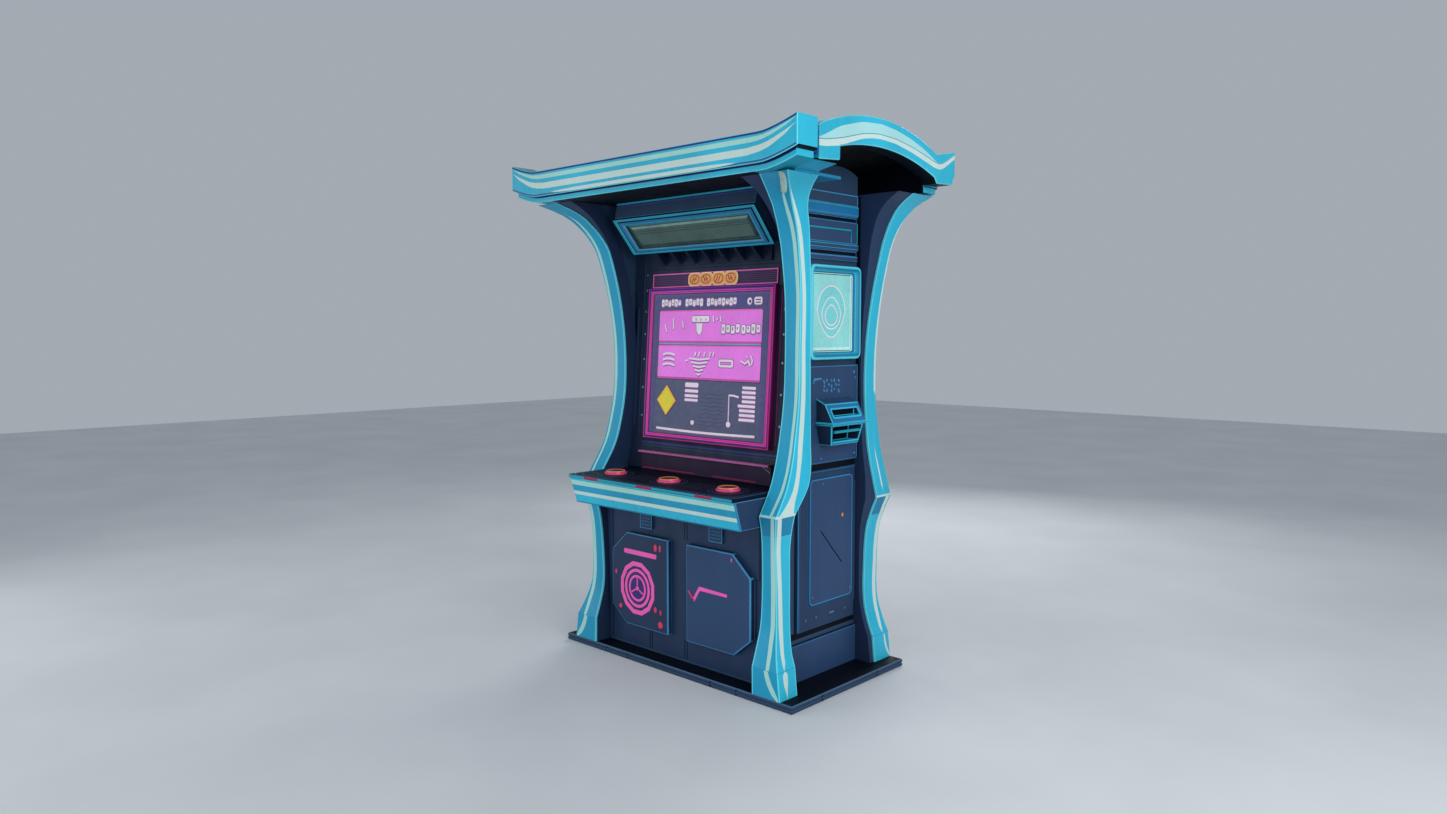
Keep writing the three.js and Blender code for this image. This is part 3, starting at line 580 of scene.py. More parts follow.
# At the foot it bends out to the corner.
REAR_FOOT = [(0.032, 0.004, 0.0044), (0.042, 0.005, 0.014), (0.055, 0.010, 0.024), (0.075, 0.020, 0.033),
             (0.100, 0.026, 0.038), (0.130, 0.028, 0.039), (0.137, 0.034, 0.0344)]
REAR_STRIPE = {"foot": REAR_FOOT, "leg": SIDE_STRIPE["leg"], "upper": REAR_DROP}


def post_sections(node):
    """The post's four-cornered sections from the ground up: (z, inner, outer, near, far)."""
    levels = {}
    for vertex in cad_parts[node].data.vertices:
        levels.setdefault(round(vertex.co.z, 4), []).append((abs(vertex.co.x), abs(vertex.co.y)))
    rows = []
    for z, corners in sorted(levels.items()):
        xs, ys = zip(*corners)
        rows.append((z, min(xs), max(xs), min(ys), max(ys)))
    return rows


def post_ring(sections, z, part, rear):
    inner, outer, near, far = table(sections, z)
    face_left = inner + REBATE
    if z > FACE_WIDTH[0][0]:
        face_left = max(face_left, outer - table(FACE_WIDTH, z)[0])
    side_back = near + REBATE
    if rear:
        side_back = max(side_back, far - table(REAR_DEPTH, z)[0])
    face_near, face_far = table(FACE_STRIPE[part], z)
    side_near, side_far = table((REAR_STRIPE if rear else SIDE_STRIPE)[part], z)
    face_near = max(face_near, CORNER + 0.0005)
    face_far = min(face_far, outer - face_left - EDGE_LINE - 0.001)
    side_near = max(side_near, CORNER + 0.0005)
    side_far = min(side_far, far - side_back - EDGE_LINE - 0.001)
    soft = CORNER * (1 - math.sqrt(0.5))
    return [
        (inner, near), (inner, far - RECESS), (face_left, far - RECESS), (face_left, far),
        (face_left + EDGE_LINE, far), (outer - face_far, far), (outer - face_near, far),
        (outer - CORNER, far), (outer - soft, far - soft), (outer, far - CORNER),
        (outer, far - side_near), (outer, far - side_far), (outer, side_back + EDGE_LINE),
        (outer, side_back), (outer - RECESS, side_back), (outer - RECESS, near)]


# The front and rear faces take a darker cyan than the side faces: painted shade.
POST_TONES = ["navy", "cyan_edge", "cyan_front", "mint", "cyan", "white", "cyan_deep", "navy_mid",
              "pale_cyan"]
# One material for each side of the section, in the order of post_ring's corners.
# The corner and the lines along the rebates take a lighter cyan, a painted highlight.
POST_SLOTS = [0, 7, 1, 1, 2, 3, 2, 1, 1, 4, 5, 4, 1, 1, 7, 0]


def post(node, side, rear):
    """One post: cyan outer faces with a stripe beside the corner, navy inner faces."""
    sections = post_sections(node)
    bottom, top = sections[0][0], sections[-1][0]
    levels = [(z, "foot") for z in steps_between(bottom, FOOT_TOP - CREASE, 12)]
    levels += [(z, "leg") for z in steps_between(FOOT_TOP + CREASE, BAND_LOW, 22)]
    levels += [(z, "leg") for z in steps_between(BAND_LOW + CREASE, KNEE - CREASE, 4)]
    levels += [(z, "upper") for z in (KNEE, KNEE + KNEE_LINE)]
    levels += [(z, "upper") for z in steps_between(KNEE + KNEE_LINE + CREASE, top, 56)]
    flip = 1 if rear else -1
    rings = [[(side * u, flip * v, z) for u, v in post_ring(sections, z, part, rear)] for z, part in levels]

    def slot_of(section_side, ring):
        slot = POST_SLOTS[section_side]
        painted = 3 <= section_side <= 13
        middle = (levels[ring][0] + levels[ring + 1][0]) / 2
        # The pale line along the knee is a painted highlight; the darker cyan in the foot's crease and in the
        # band under the knee is painted shade.
        if painted and KNEE < middle < KNEE + KNEE_LINE:
            return POST_TONES.index("pale_cyan" if section_side < 8 else "white")
        in_crease = painted and abs(middle - FOOT_TOP) < CREASE
        in_band = BAND_LOW < middle < KNEE and POST_TONES[slot] in ("cyan_front", "cyan")
        return POST_TONES.index("cyan_deep") if in_crease or in_band else slot

    shape = Shape().loft(rings, 0, slot_of)
    piece(node + "_shell", shape, POST_TONES, stands_for=(node,), sharp=28)


def post_lamp():
    """The small capsule lamp on the face of the front right post, under the eave."""
    shape = Shape()
    # (height, face of the post, middle of the lamp, size): the post leans out, the lamp stands upright.
    rows = [(1.966, -0.376, 0.634, 0.5), (1.972, -0.384, 0.637, 0.9), (1.990, -0.406, 0.655, 1.0),
            (2.008, -0.438, 0.678, 1.0), (2.020, -0.466, 0.694, 0.9), (2.0245, -0.478, 0.697, 0.5)]
    rings = []
    for z, y, x, size in rows:
        outline = ellipse((x, 0), 0.0135 * size, 0.010 * size, 16)
        rings.append([(a, y - 0.004 - b, z) for a, b in outline])
    shape.loft(rings)
    piece("post_lamp", shape, ["lamp_glass"])


def posts():
    for side_name, side in SIDES.items():
        post(f"post_front_{side_name}", side, False)
        post(f"post_rear_{side_name}", side, True)
    post_lamp()


# ------------------------------------------------------------------ canopy
EAVE_RISE_FROM = 0.66
EAVE_RISE = 0.042
EAVE_HEIGHT = 0.111
EAVE_LIP = 0.024
EAVE_LIP_INSET = 0.020
EAVE_SOFT = 0.003
# Bands down the eave's face, below its top edge: (distance from the middle, ...edges).
WHITE_BAND = [(0.60, 0.054, 0.080), (0.70, 0.046, 0.068), (0.78, 0.038, 0.050), (0.815, 0.034, 0.0344)]
MINT_BAND = [(0.62, 0.018, 0.036), (0.70, 0.016, 0.030), (0.80, 0.014, 0.020), (0.815, 0.0135, 0.0139)]
LENS_MIDDLE = 0.100
LENS_HALF = 0.0075
LENS_REACH = 0.54
# The canopy's underside is cyan beyond this distance from the middle, and near black within it, which is
# painted shade.
PAINTED_FROM = 0.58


def eave(node, outward):
    """A fascia board whose tips turn up. outward is -1 for the front and 1 for the rear."""
    (_, half), (y0, y1), (foot, _) = box_of(node)
    full_half = box_of("eave_front")[0][1]
    face, back = (y0, y1) if outward < 0 else (y1, y0)
    bottom = foot + EAVE_LIP

    def rise(x):
        share = max(0.0, (abs(x) - EAVE_RISE_FROM) / (full_half - EAVE_RISE_FROM))
        return EAVE_RISE * share ** 1.4

    def section(x, shrink=0.0):
        crest = bottom + EAVE_HEIGHT + rise(x)
        top = crest - shrink
        low = bottom + rise(x) + shrink
        front = face - outward * shrink
        rear = back + outward * shrink
        swell = max(0.0, 1 - (abs(x) / LENS_REACH) ** 4)
        lens = max(0.0002, LENS_HALF * math.sqrt(swell))
        drops = [0.010, *table(MINT_BAND, abs(x)), *table(WHITE_BAND, abs(x)), *around(LENS_MIDDLE, lens)]
        points = [(rear, top), (front - outward * EAVE_SOFT, top), (front, top - EAVE_SOFT)]
        points += [(front, min(top - 0.004, max(low + 0.004, crest - drop))) for drop in drops]
        points += [(front, low + EAVE_SOFT), (front - outward * EAVE_SOFT, low), (rear, low)]
        return [(x, y, z) for y, z in points]

    stations = steps_between(-half, half, 64)
    stations[0] += EAVE_SOFT
    stations[-1] -= EAVE_SOFT
    rings = [section(-half, EAVE_SOFT)] + [section(x) for x in stations] + [section(half, EAVE_SOFT)]
    # Near black underside and back: painted shade. Lighter cyan corners and ends: painted highlight.
    slots = [4, 5, 6, 1, 2, 1, 3, 1, 3, 0, 5, 7, 7]
    end_rings = (0, len(rings) - 2)

    def slot_of(side, ring):
        return 5 if ring in end_rings and side != 11 else slots[side]

    shape = Shape().loft(rings, 1, slot_of)

    lip_half = half - (EAVE_LIP_INSET if outward < 0 else 0.001)
    front = face - outward * EAVE_LIP_INSET

    def lip(x):
        low = bottom + rise(x) - EAVE_LIP
        high = bottom + rise(x) - 0.0004
        rows = [(back, high), (front, high), (front, high - 0.004), (front, low + EAVE_SOFT),
                (front - outward * EAVE_SOFT, low), (back, low)]
        return [(x, y, z) for y, z in rows]

    # The lip's underside is near black in the middle, which is painted shade, and painted teal over the
    # posts.
    lip_slots = [4, 6, 1, 5, 7, 7]
    lip_stations = steps_between(-lip_half, lip_half, 48)

    def lip_slot(side, ring):
        return 4 if side == 4 and abs(lip_stations[ring]) > PAINTED_FROM else lip_slots[side]

    shape.loft([lip(x) for x in lip_stations], 1, lip_slot)
    piece(node + "_board", shape,
          ["azure", "cyan", "mint", "white", "teal", "cyan_edge", "indigo", "ink"],
          stands_for=(node,), sharp=28)


GABLE_RADIUS = 1.03
GABLE_BEND = 0.405
VAULT_CREST = 2.262
SOFFIT_CREST = 2.160
SOFFIT_RADIUS = 1.15
GABLE_SOFT = 0.004
GABLE_TIP = 2.214
# The gable's face: (y, top of the pale field), (y, top and bottom of the white stripe).
PALE_TOP = [(-0.385, 2.148), (-0.359, 2.158), (-0.263, 2.203), (-0.126, 2.238), (0.0, 2.248), (0.101, 2.240),
            (0.207, 2.221), (0.317, 2.190), (0.415, 2.150)]
WAVE = [(-0.385, 2.140, 2.117), (-0.359, 2.141, 2.117), (-0.263, 2.158, 2.132), (-0.190, 2.176, 2.156),
        (-0.125, 2.193, 2.176), (-0.060, 2.203, 2.187), (0.0, 2.207, 2.191), (0.102, 2.204, 2.187),
        (0.208, 2.190, 2.170), (0.318, 2.168, 2.146), (0.385, 2.152, 2.130), (0.433, 2.147, 2.125),
        (0.470, 2.160, 2.140), (0.553, 2.203, 2.187)]
GABLE_UNDER = [(-0.385, 2.070), (-0.266, 2.080)]
GABLE_TAIL = [(0.392, 2.0915), (0.411, 2.068), (0.529, 2.074), (0.541, 2.104), (0.553, 2.106)]


def gable_top(y, crest, tip):
    def roof(at):
        return crest - GABLE_RADIUS + math.sqrt(GABLE_RADIUS ** 2 - at ** 2)
    if y <= GABLE_BEND:
        return roof(y)
    return roof(GABLE_BEND) + (tip[1] - roof(GABLE_BEND)) * (y - GABLE_BEND) / (tip[0] - GABLE_BEND)


def gable_bottom(y):
    if y <= GABLE_UNDER[-1][0]:
        return table(GABLE_UNDER, y)[0]
    if y >= GABLE_TAIL[0][0]:
        return table(GABLE_TAIL, y)[0]
    return SOFFIT_CREST - SOFFIT_RADIUS + math.sqrt(SOFFIT_RADIUS ** 2 - y ** 2)


def smoothed(rows, y):
    """Rows read with a little rounding at their corners."""
    spread = 0.022
    samples = [table(rows, y + spread * k / 2) for k in (-2, -1, 0, 1, 2)]
    weights = (1, 2, 3, 2, 1)
    return [sum(w * s[i] for w, s in zip(weights, samples)) / 9 for i in range(len(samples[0]))]


def gable(side_name, side):
    node = "gable_" + side_name
    (x0, x1), (_, rear), (_, crest) = box_of(node)
    inner, outer = sorted((abs(x0), abs(x1)))
    tip = (rear, GABLE_TIP)
    front = GABLE_UNDER[0][0]
    # The steps are finer where the underside turns down into the tail.
    ys = sorted(set(steps_between(front, GABLE_UNDER[-1][0], 8) + steps_between(-0.2645, 0.392, 44)
                    + [0.3925, 0.400, 0.4045, 0.411, 0.418, 0.426, 0.435, 0.445]
                    + steps_between(0.46, 0.529, 6) + [0.535, 0.541, 0.547, rear]))

    def section(y, shrink=0.0):
        top = gable_top(y, crest, tip) - shrink
        low = gable_bottom(y) + shrink
        face = outer - shrink
        wave_top, wave_low = smoothed(WAVE, y)
        pale = smoothed(PALE_TOP, y)[0]
        wave_low = max(wave_low, low + GABLE_SOFT + 0.002)
        wave_top = max(wave_top, wave_low + 0.001)
        pale = min(max(pale, wave_top + 0.004), top - GABLE_SOFT - 0.001)
        points = [(inner, top), (face - GABLE_SOFT, top), (face, top - GABLE_SOFT), (face, pale),
                  (face, wave_top + 0.003), (face, wave_top), (face, wave_low), (face, low + GABLE_SOFT),
                  (face - GABLE_SOFT, low), (inner, low)]
        return [(side * x, y, z) for x, z in points]

    def moved(ring, y):
        return [(x, y, z) for x, _, z in ring]

    rings = [section(y) for y in ys]
    rings[0] = moved(rings[0], front + GABLE_SOFT)
    rings[-1] = moved(rings[-1], rear - GABLE_SOFT)
    rings = [section(front, GABLE_SOFT)] + rings + [section(rear, GABLE_SOFT)]
    # Near black underside and inner face: painted shade. Lighter cyan corners and rear end: painted
    # highlight.
    slots = [1, 5, 1, 2, 6, 3, 1, 5, 4, 4]
    last = len(rings) - 2

    def slot_of(at, ring):
        return 5 if ring == last and at != 8 else slots[at]

    shape = Shape().loft(rings, 1, slot_of)
    shape.box(span(side, inner + 0.005, outer - 0.010), (-0.4365, front), (2.090, 2.172), 7)
    tones = ["azure", "cyan", "pale_cyan", "white", "ink", "cyan_edge", "teal", "indigo"]
    piece(node + "_arch", shape, tones, stands_for=(node,), sharp=28)


def roof():
    """The vault between the gables, with standing seams running over it."""
    (x0, x1), (y0, y1), _ = box_of("roof_vault")
    seams = Shape()
    rib = ((-0.009, -0.002), (-0.006, 0.005), (0.006, 0.005), (0.009, -0.002))
    for x in steps_between(x0 + 0.06, x1 - 0.06, 10):
        rings = []
        for y in steps_between(y0 + 0.01, y1 - 0.01, 28):
            z = VAULT_CREST - GABLE_RADIUS + math.sqrt(GABLE_RADIUS ** 2 - y * y)
            rings.append([(x + across, y, z + up) for across, up in rib])
        seams.loft(rings, 1)
    # Faces that look down are near black: painted shade under the vault.
    refined("roof_vault", ["navy_dark", "navy_mid", "ink"], bevel=0,
            slot_of=lambda centre, normal: 2 if normal.z < 0 else 0, extra=seams)


def canopy():
    eave("eave_front", -1)
    eave("eave_rear", 1)
    for side_name, side in SIDES.items():
        gable(side_name, side)
    roof()
    ceiling()


def ceiling():
    """The flat board behind the front eave: near black in the middle, which is painted shade, and cyan over
    the posts.
    """
    (x0, x1), (y0, y1), (z0, z1) = box_of("canopy_ceiling")
    stations = (x0, -PAINTED_FROM, PAINTED_FROM, x1)
    rings = [[(x, y, z) for y, z in rectangle(y0, y1, z0, z1)] for x in stations]
    shape = Shape().loft(rings, 1, lambda side, ring: 0 if ring == 1 else 1)
    piece("canopy_ceiling_board", shape, ["ink", "cyan_deep"],
          stands_for=("canopy_ceiling",), bevel=0.002)
    # A bracket at each front corner leads from the board up and out to the gable; its darker cyan is painted
    # shade.
    foot = z1 + 0.0003
    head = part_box("gable_right")[0].z - 0.0008
    levels = ((foot, x1, -0.300), (foot + 0.006, x1 + 0.006, -0.297), (head, x1 + 0.060, -0.268))
    for side_name, side in SIDES.items():
        rings = [[(x, y, z) for x, y in rectangle(*span(side, 0.640, reach), y0 + 0.001, rear)]
                 for z, reach, rear in levels]
        piece(f"canopy_bracket_{side_name}", Shape().loft(rings), ["cyan_front"],
              bevel=0.001)


# ------------------------------------------------------------------ cabinet body
# The outlines of the two raised pads on each side wall, and the face they stand out to.
KICK_PAD = [(-0.256, 0.033), (0.235, 0.033), (0.235, 0.184), (0.229, 0.190), (-0.250, 0.190), (-0.256, 0.184)]
MIDDLE_PAD = rounded(-0.112, 0.234, 0.915, 1.318, 0.006)
WALL_FACE = 0.523
PAD_FACE = 0.535


def side_walls():
    """Dark liners, each with two raised navy pads."""
    for side_name, side in SIDES.items():
        refined(f"side_wall_{side_name}", ["slate"], bevel=0)
        pads = Shape()
        for outline in (KICK_PAD, MIDDLE_PAD):
            pads.prism(outline, *span(side, WALL_FACE - 0.001, PAD_FACE + 0.0001), facing_x)
        piece(f"side_wall_{side_name}_pads", pads, ["navy_light"], bevel=0.003,
              edge="azure")


def body_shell():
    refined("top_cover", ["navy_dark"], bevel=0.002)
    refined("rear_panel", ["navy_dark"], bevel=0.002)
    rear_fittings()
    front_panel()


def rear_fittings():
    """Louvres, a bolted service plate and its screws on the rear panel."""
    face = box_of("rear_panel")[1][1]
    louvres = Shape()
    for row in range(9):
        z = 1.62 + 0.032 * row
        blade = [(face - 0.001, z), (face + 0.007, z), (face + 0.009, z + 0.004), (face - 0.001, z + 0.018)]
        for x in (-0.24, 0.0, 0.24):
            louvres.prism(blade, *around(x, 0.095), facing_x)
    piece("rear_louvres", louvres, ["navy"], bevel=0.001, edge="navy_edge")
    plate = Shape().prism(rounded(-0.34, 0.34, 0.30, 1.42, 0.03), face - 0.001, face + 0.005, facing_y)
    piece("rear_service_plate", plate, ["navy"], bevel=0.002, edge="navy_edge")
    screws = Shape()
    for x in (-0.315, 0.315):
        for z in (0.325, 0.68, 1.04, 1.395):
            screws.dome((x, z, face + 0.0048), 0.008, 0.003, facing_y)
    piece("rear_screws", screws, ["rivet"])


def front_panel():
    """The lower front board with its planted seams, and the two ribbed brackets above the doors."""
    (_, _), (face, _), (bottom, top) = box_of("lower_front_panel")
    lines = Shape()
    plane = (face - 0.0015, face + 0.001)
    for side in SIDES.values():
        for x, half, slot in ((0.4385, 0.0025, 1), (0.4475, 0.0035, 3), (0.4540, 0.0015, 1)):
            lines.box(span(side, x - half, x + half), plane, (bottom + 0.02, top - 0.01), slot)
    for x in (-0.20, -0.185, 0.02, 0.035):
        for heights in ((bottom + 0.012, 0.128), (0.566, 0.640)):
            lines.box(around(x, 0.0025), plane, heights, 3)
    lines.box((-0.46, 0.46), plane, (bottom + 0.002, bottom + 0.009), 1)
    for x in (-0.436, -0.13, 0.115):
        lines.box(around(x, 0.004), plane, (0.095, 0.101), 1)
    refined("lower_front_panel", ["navy_mid", "navy_light", "navy_dark", "seam"], bevel=0.001,
            extra=lines)
    for side_name in SIDES:
        node = f"deck_bracket_{side_name}"
        (x0, x1), (y0, _), (z0, z1) = box_of(node)
        rungs = Shape()
        for z in steps_between(z0 + 0.018, z1 - 0.018, 5):
            rungs.box((x0 + 0.012, x1 - 0.012), (y0 - 0.002, y0 + 0.001), around(z, 0.0035), 1)
        edges = (x0, x1, z0, z1)
        rungs.rim(rectangle(*edges), rectangle(*inset(edges, 0.005)), y0 - 0.0016, y0 + 0.001, facing_y, 2)
        refined(node, ["navy_mid", "navy_light", "azure"], bevel=0.002, edge="navy_edge",
                extra=rungs)


# ------------------------------------------------------------------ front doors


def left_door_marks(face):
    """A round emblem with three spokes, a bar over it, and stray dots."""
    marks = Marks(face)
    marks.mark(rounded(-0.338, -0.127, 0.462, 0.483, 0.005))
    for x, z, a, b in ((-0.133, 0.512, 0.009, 0.016), (-0.104, 0.513, 0.006, 0.015)):
        marks.mark(ellipse((x, z), a, b, 16), slot=1)
    centre = (-0.252, 0.312)
    marks.ring(ellipse(centre, 0.114, 0.123, 12, 0.5), ellipse(centre, 0.094, 0.102, 12, 0.5))
    for outer, inner in (((0.082, 0.088), (0.068, 0.074)), ((0.056, 0.060), (0.045, 0.049))):
        marks.ring(ellipse(centre, *outer, 40), ellipse(centre, *inner, 40))
    marks.mark(ellipse(centre, 0.084, 0.090, 40), MARK / 2, 2)
    for turn in (90, 210, 330):
        spoke = [arc(centre, radius, turn, turn, 1)[0] for radius in (0.012, 0.050)]
        marks.mark(stroke(spoke, 0.007))
    marks.mark(ellipse(centre, 0.010, 0.010, 20))
    for x, z, a, b in ((-0.394, 0.367, 0.006, 0.011), (-0.365, 0.213, 0.009, 0.011),
                       (-0.135, 0.236, 0.009, 0.013), (-0.102, 0.229, 0.005, 0.012),
                       (-0.103, 0.174, 0.014, 0.015)):
        marks.mark(ellipse((x, z), a, b, 16), slot=1)
    piece("front_door_left_marks", marks, ["pink_line", "red_line", "disc"], "front_door_left")


def right_door_marks(face):
    """A bent line with a long level tail, and one dot."""
    marks = Marks(face)
    marks.mark(stroke([(0.070, 0.361), (0.103, 0.324)], 0.007), slot=1)
    marks.mark(stroke([(0.101, 0.324), (0.137, 0.381), (0.294, 0.378)], 0.013))
    marks.mark(ellipse((0.319, 0.531), 0.005, 0.009, 12), slot=2)
    piece("front_door_right_marks", marks, ["pink_line", "red_line", "mauve"], "front_door_right")


def piano_hinge(node):
    """A knuckled barrel and its leaf."""
    (x0, x1), (y0, y1), (z0, z1) = box_of(node)
    radius = 0.005
    side = 1 if x0 > 0 else -1
    near, far = sorted((abs(x0), abs(x1)))
    middle_y = y0 + radius
    shape = Shape()
    if far - near > 0.02:
        # A front door's leaf lies along the back of the front board.
        axis = near + radius
        shape.box(span(side, axis, far), (y1 - 0.0025, y1), (z0, z1))
        shape.box(span(side, axis, axis + 0.003), (middle_y, y1), (z0, z1))
    else:
        # The side door's leaf lies on the side wall.
        axis = far - radius
        shape.box(span(side, WALL_FACE + 0.0003, WALL_FACE + 0.0025), (middle_y, y1), (z0, z1))
        shape.box(span(side, WALL_FACE + 0.0003, axis), around(middle_y, 0.002), (z0, z1))
    count = round((z1 - z0) / 0.024)
    pitch = (z1 - z0) / count
    for i in range(count):
        low = z0 + i * pitch
        high = low + pitch
        profile = [(0.0012, low + 0.0004), (radius - 0.0006, low + 0.0004), (radius, low + 0.0012),
                   (radius, high - 0.0012), (radius - 0.0006, high - 0.0004), (0.0012, high - 0.0004)]
        shape.lathe(profile, (side * axis, middle_y), 20)
    piece(node + "_knuckles", shape, ["navy_mid"], stands_for=(node,), bevel=0.0004,
          edge="navy_light")


def front_doors():
    for side_name, tone in (("left", "navy_mid"), ("right", "navy_light")):
        node = f"front_door_{side_name}"
        refined(node, [tone, "navy"], node, 0.0055, "navy_edge",
                slot_of=lambda centre, normal: 1 if abs(normal.y) < 0.9 else 0)
        piano_hinge(f"front_door_hinge_{side_name}")
    left_door_marks(box_of("front_door_left")[1][0])
    right_door_marks(box_of("front_door_right")[1][0])


# ------------------------------------------------------------------ side panels and doors
# How far out the lower side door's raised field and the flat border around it stand.
FIELD_FACE = 0.540
FLAT_FACE = 0.5355


def side_marks(name, body, side, marked):
    """Corner rivets, stray marks and the long scratch on the lower side panel."""
    marks = Marks(side * FIELD_FACE, facing_x, side)
    for y, z in ((-0.013, 0.832), (0.181, 0.365), (-0.078, 0.368)):
        marks.mark(ellipse((y, z), 0.005, 0.006, 14), 0.002)
    marks.face = side * FLAT_FACE
    for y in (-0.114, -0.045, 0.153):
        marks.mark(ellipse((y, 0.279), 0.005, 0.005, 14), 0.002)
    marks.mark(rounded(0.042, 0.078, 0.275, 0.284, 0.004), 0.002)
    marks.face = side * FIELD_FACE
    if marked:
        marks.mark(ellipse((0.125, 0.685), 0.006, 0.008, 14), 0.002, 1)
    marks.mark(stroke([(-0.023, 0.637), (0.050, 0.560), (0.122, 0.485)], 0.005), 0.0006, 2)
    piece(name, marks, ["rivet", "orange_plastic", "ink"], body)


def side_panels():
    """The lower side doors: a raised field in a bright line, a painted highlight, on a panel edged in the
    same blue.
    """
    for node, body, side in (("access_door", "access_door", 1), ("side_panel_left", "cabinet", -1)):
        lines = Marks(side * FIELD_FACE, facing_x, side)
        # (edges, line's width, corner radius, face, material) of the lines around the field.
        for edges, width, radius, face, slot in (
                ((-0.0955, 0.1955, 0.3335, 0.8535), 0.0045, 0.0215, FIELD_FACE, 2),
                ((-0.106, 0.206, 0.323, 0.864), 0.004, 0.026, FLAT_FACE, 3)):
            lines.face = side * face
            lines.ring(rounded(*edges, radius), rounded(*inset(edges, width), radius - width), 0.0012, slot)
        for *edges, slot in ((-0.1660, -0.1620, 0.240, 0.784, 2), (-0.1560, -0.1535, 0.246, 0.790, 3),
                             (-0.1280, 0.2165, 0.8820, 0.8850, 4)):
            lines.prism(rectangle(*edges), *span(side, 0.5350, 0.5367), facing_x, slot)
        refined(node, ["navy_mid", "navy_light", "navy_edge", "seam", "azure"], body, 0.0022,
                "azure", lambda centre, normal: 1 if abs(centre.x) > 0.5385 else 0, lines)
        side_marks(node + "_marks", body, side, side > 0)
    piano_hinge("access_door_hinge")


def wall_lines():
    """Thin bright lines along the side walls' pads, which are painted highlights, and painted shade in the
    gaps between the pads.
    """
    for side_name, side in SIDES.items():
        lines = Marks(side * PAD_FACE, facing_x, side)
        # (front, rear, lower and upper edge, material)
        for *edges, slot in ((-0.248, 0.230, 0.1845, 0.1875, 1), (-0.106, 0.2300, 0.9185, 0.9210, 1),
                             (-0.1060, 0.2300, 1.3125, 1.3150, 0), (0.2285, 0.2310, 0.926, 1.310, 0)):
            lines.mark(rectangle(*edges), 0.0010, slot)
        # Where the liner shows between the pads, the door and the rear post it is painted near black as
        # shade.
        lines.face = side * WALL_FACE
        for outline in (rectangle(-0.228, 0.2345, 0.2075, 0.2345), rectangle(-0.135, 0.2345, 0.8885, 0.9145),
                        stroke([(-0.1715, 0.2345), (-0.1715, 0.770)], 0.005)):
            lines.mark(outline, 0.0006, 2)
        lines.box(span(side, WALL_FACE + 0.0004, WALL_FACE + 0.0180), (0.2341, 0.2348), (0.920, 2.020), 2)
        piece(f"side_wall_{side_name}_lines", lines, ["navy_edge", "azure", "ink"])


def vents():
    """Louvre bands: a bright raised band, dark joints and fine bent lines."""
    flat, band = 0.535, 0.540
    for side_name, side in SIDES.items():
        node = f"vent_panel_{side_name}"
        (_, _), (y0, y1), (z0, _) = box_of(node)

        def slot_of(centre, normal):
            height = centre.z - z0
            if abs(centre.x) < 0.530 and abs(normal.x) > 0.5:
                return 2
            # The strip along the band's top is a painted highlight.
            if 0.182 < height < 0.231 and abs(centre.x) > 0.5352:
                return 5 if height > 0.2225 else 1
            return 3 if height < 0.16 else 0

        def level(z):
            return [(y0 + 0.002, z), (y1 - 0.002, z)]

        def riser(low, high):
            return [(y1 - 0.0035, low), (y1 - 0.0035, high)]

        lines = Shape()
        # (points, width, face that the line lies on, material)
        for points, width, face, slot in (
                ([(y0 + 0.002, 1.874), (0.176, 1.876), (0.176, 1.826)], 0.0055, flat, 4),
                (level(1.9705), 0.0040, band, 4),
                ([(y1 - 0.003, 1.930), (y1 - 0.003, 1.972)], 0.0050, flat, 4),
                (level(2.0185), 0.0035, flat, 5),
                (riser(1.978, 2.016), 0.0035, flat, 5),
                (level(1.8135), 0.0040, band, 4),
                (riser(1.822, 1.905), 0.0040, flat, 4),
                (level(1.7655), 0.0030, flat, 5)):
            lines.prism(stroke(points, width), *span(side, face - 0.0008, face + 0.0016), facing_x, slot)
        tones = ["slate", "azure", "ink", "navy_light", "teal", "navy_edge"]
        refined(node, tones, bevel=0.0016, edge="navy_edge", slot_of=slot_of)
        piece(node + "_lines", lines, tones)


def light_boxes():
    """A deep rounded frame around a back-lit lens with a drawn ring mark."""
    bar = 0.034
    for side_name, side in SIDES.items():
        node = f"light_box_frame_{side_name}"
        (x0, x1), ys, zs = box_of(node)
        root, face = sorted((abs(x0), abs(x1)))
        # (inset, corner radius, depth, material of the face that follows)
        # The lighter cyan on the front corner is a painted highlight; the darker step inside the front face
        # is a painted shadow line.
        profile = [(0.0, 0.026, root, 1), (0.0, 0.026, face - 0.006, 0), (0.003, 0.024, face - 0.001, 0),
                   (0.007, 0.021, face, 1), (0.012, 0.018, face - 0.001, 3), (0.017, 0.016, face - 0.006, 2),
                   (0.023, 0.013, face - 0.014, 1), (0.026, 0.012, face - 0.017, 3),
                   (bar - 0.003, 0.010, root + 0.008, 4), (bar, 0.008, root + 0.006, 2),
                   (bar, 0.008, root, 1)]
        steps = [(rounded(*inset((*ys, *zs), by), radius, 6), side * depth, slot)
                 for by, radius, depth, slot in profile]
        tones = ["cyan_edge", "cyan", "teal", "azure", "glow_rim"]
        piece(node + "_shell", Shape().frame(steps, facing_x), tones, stands_for=(node,),
              sharp=50)
        light_box_lens(f"light_box_lens_{side_name}", side)


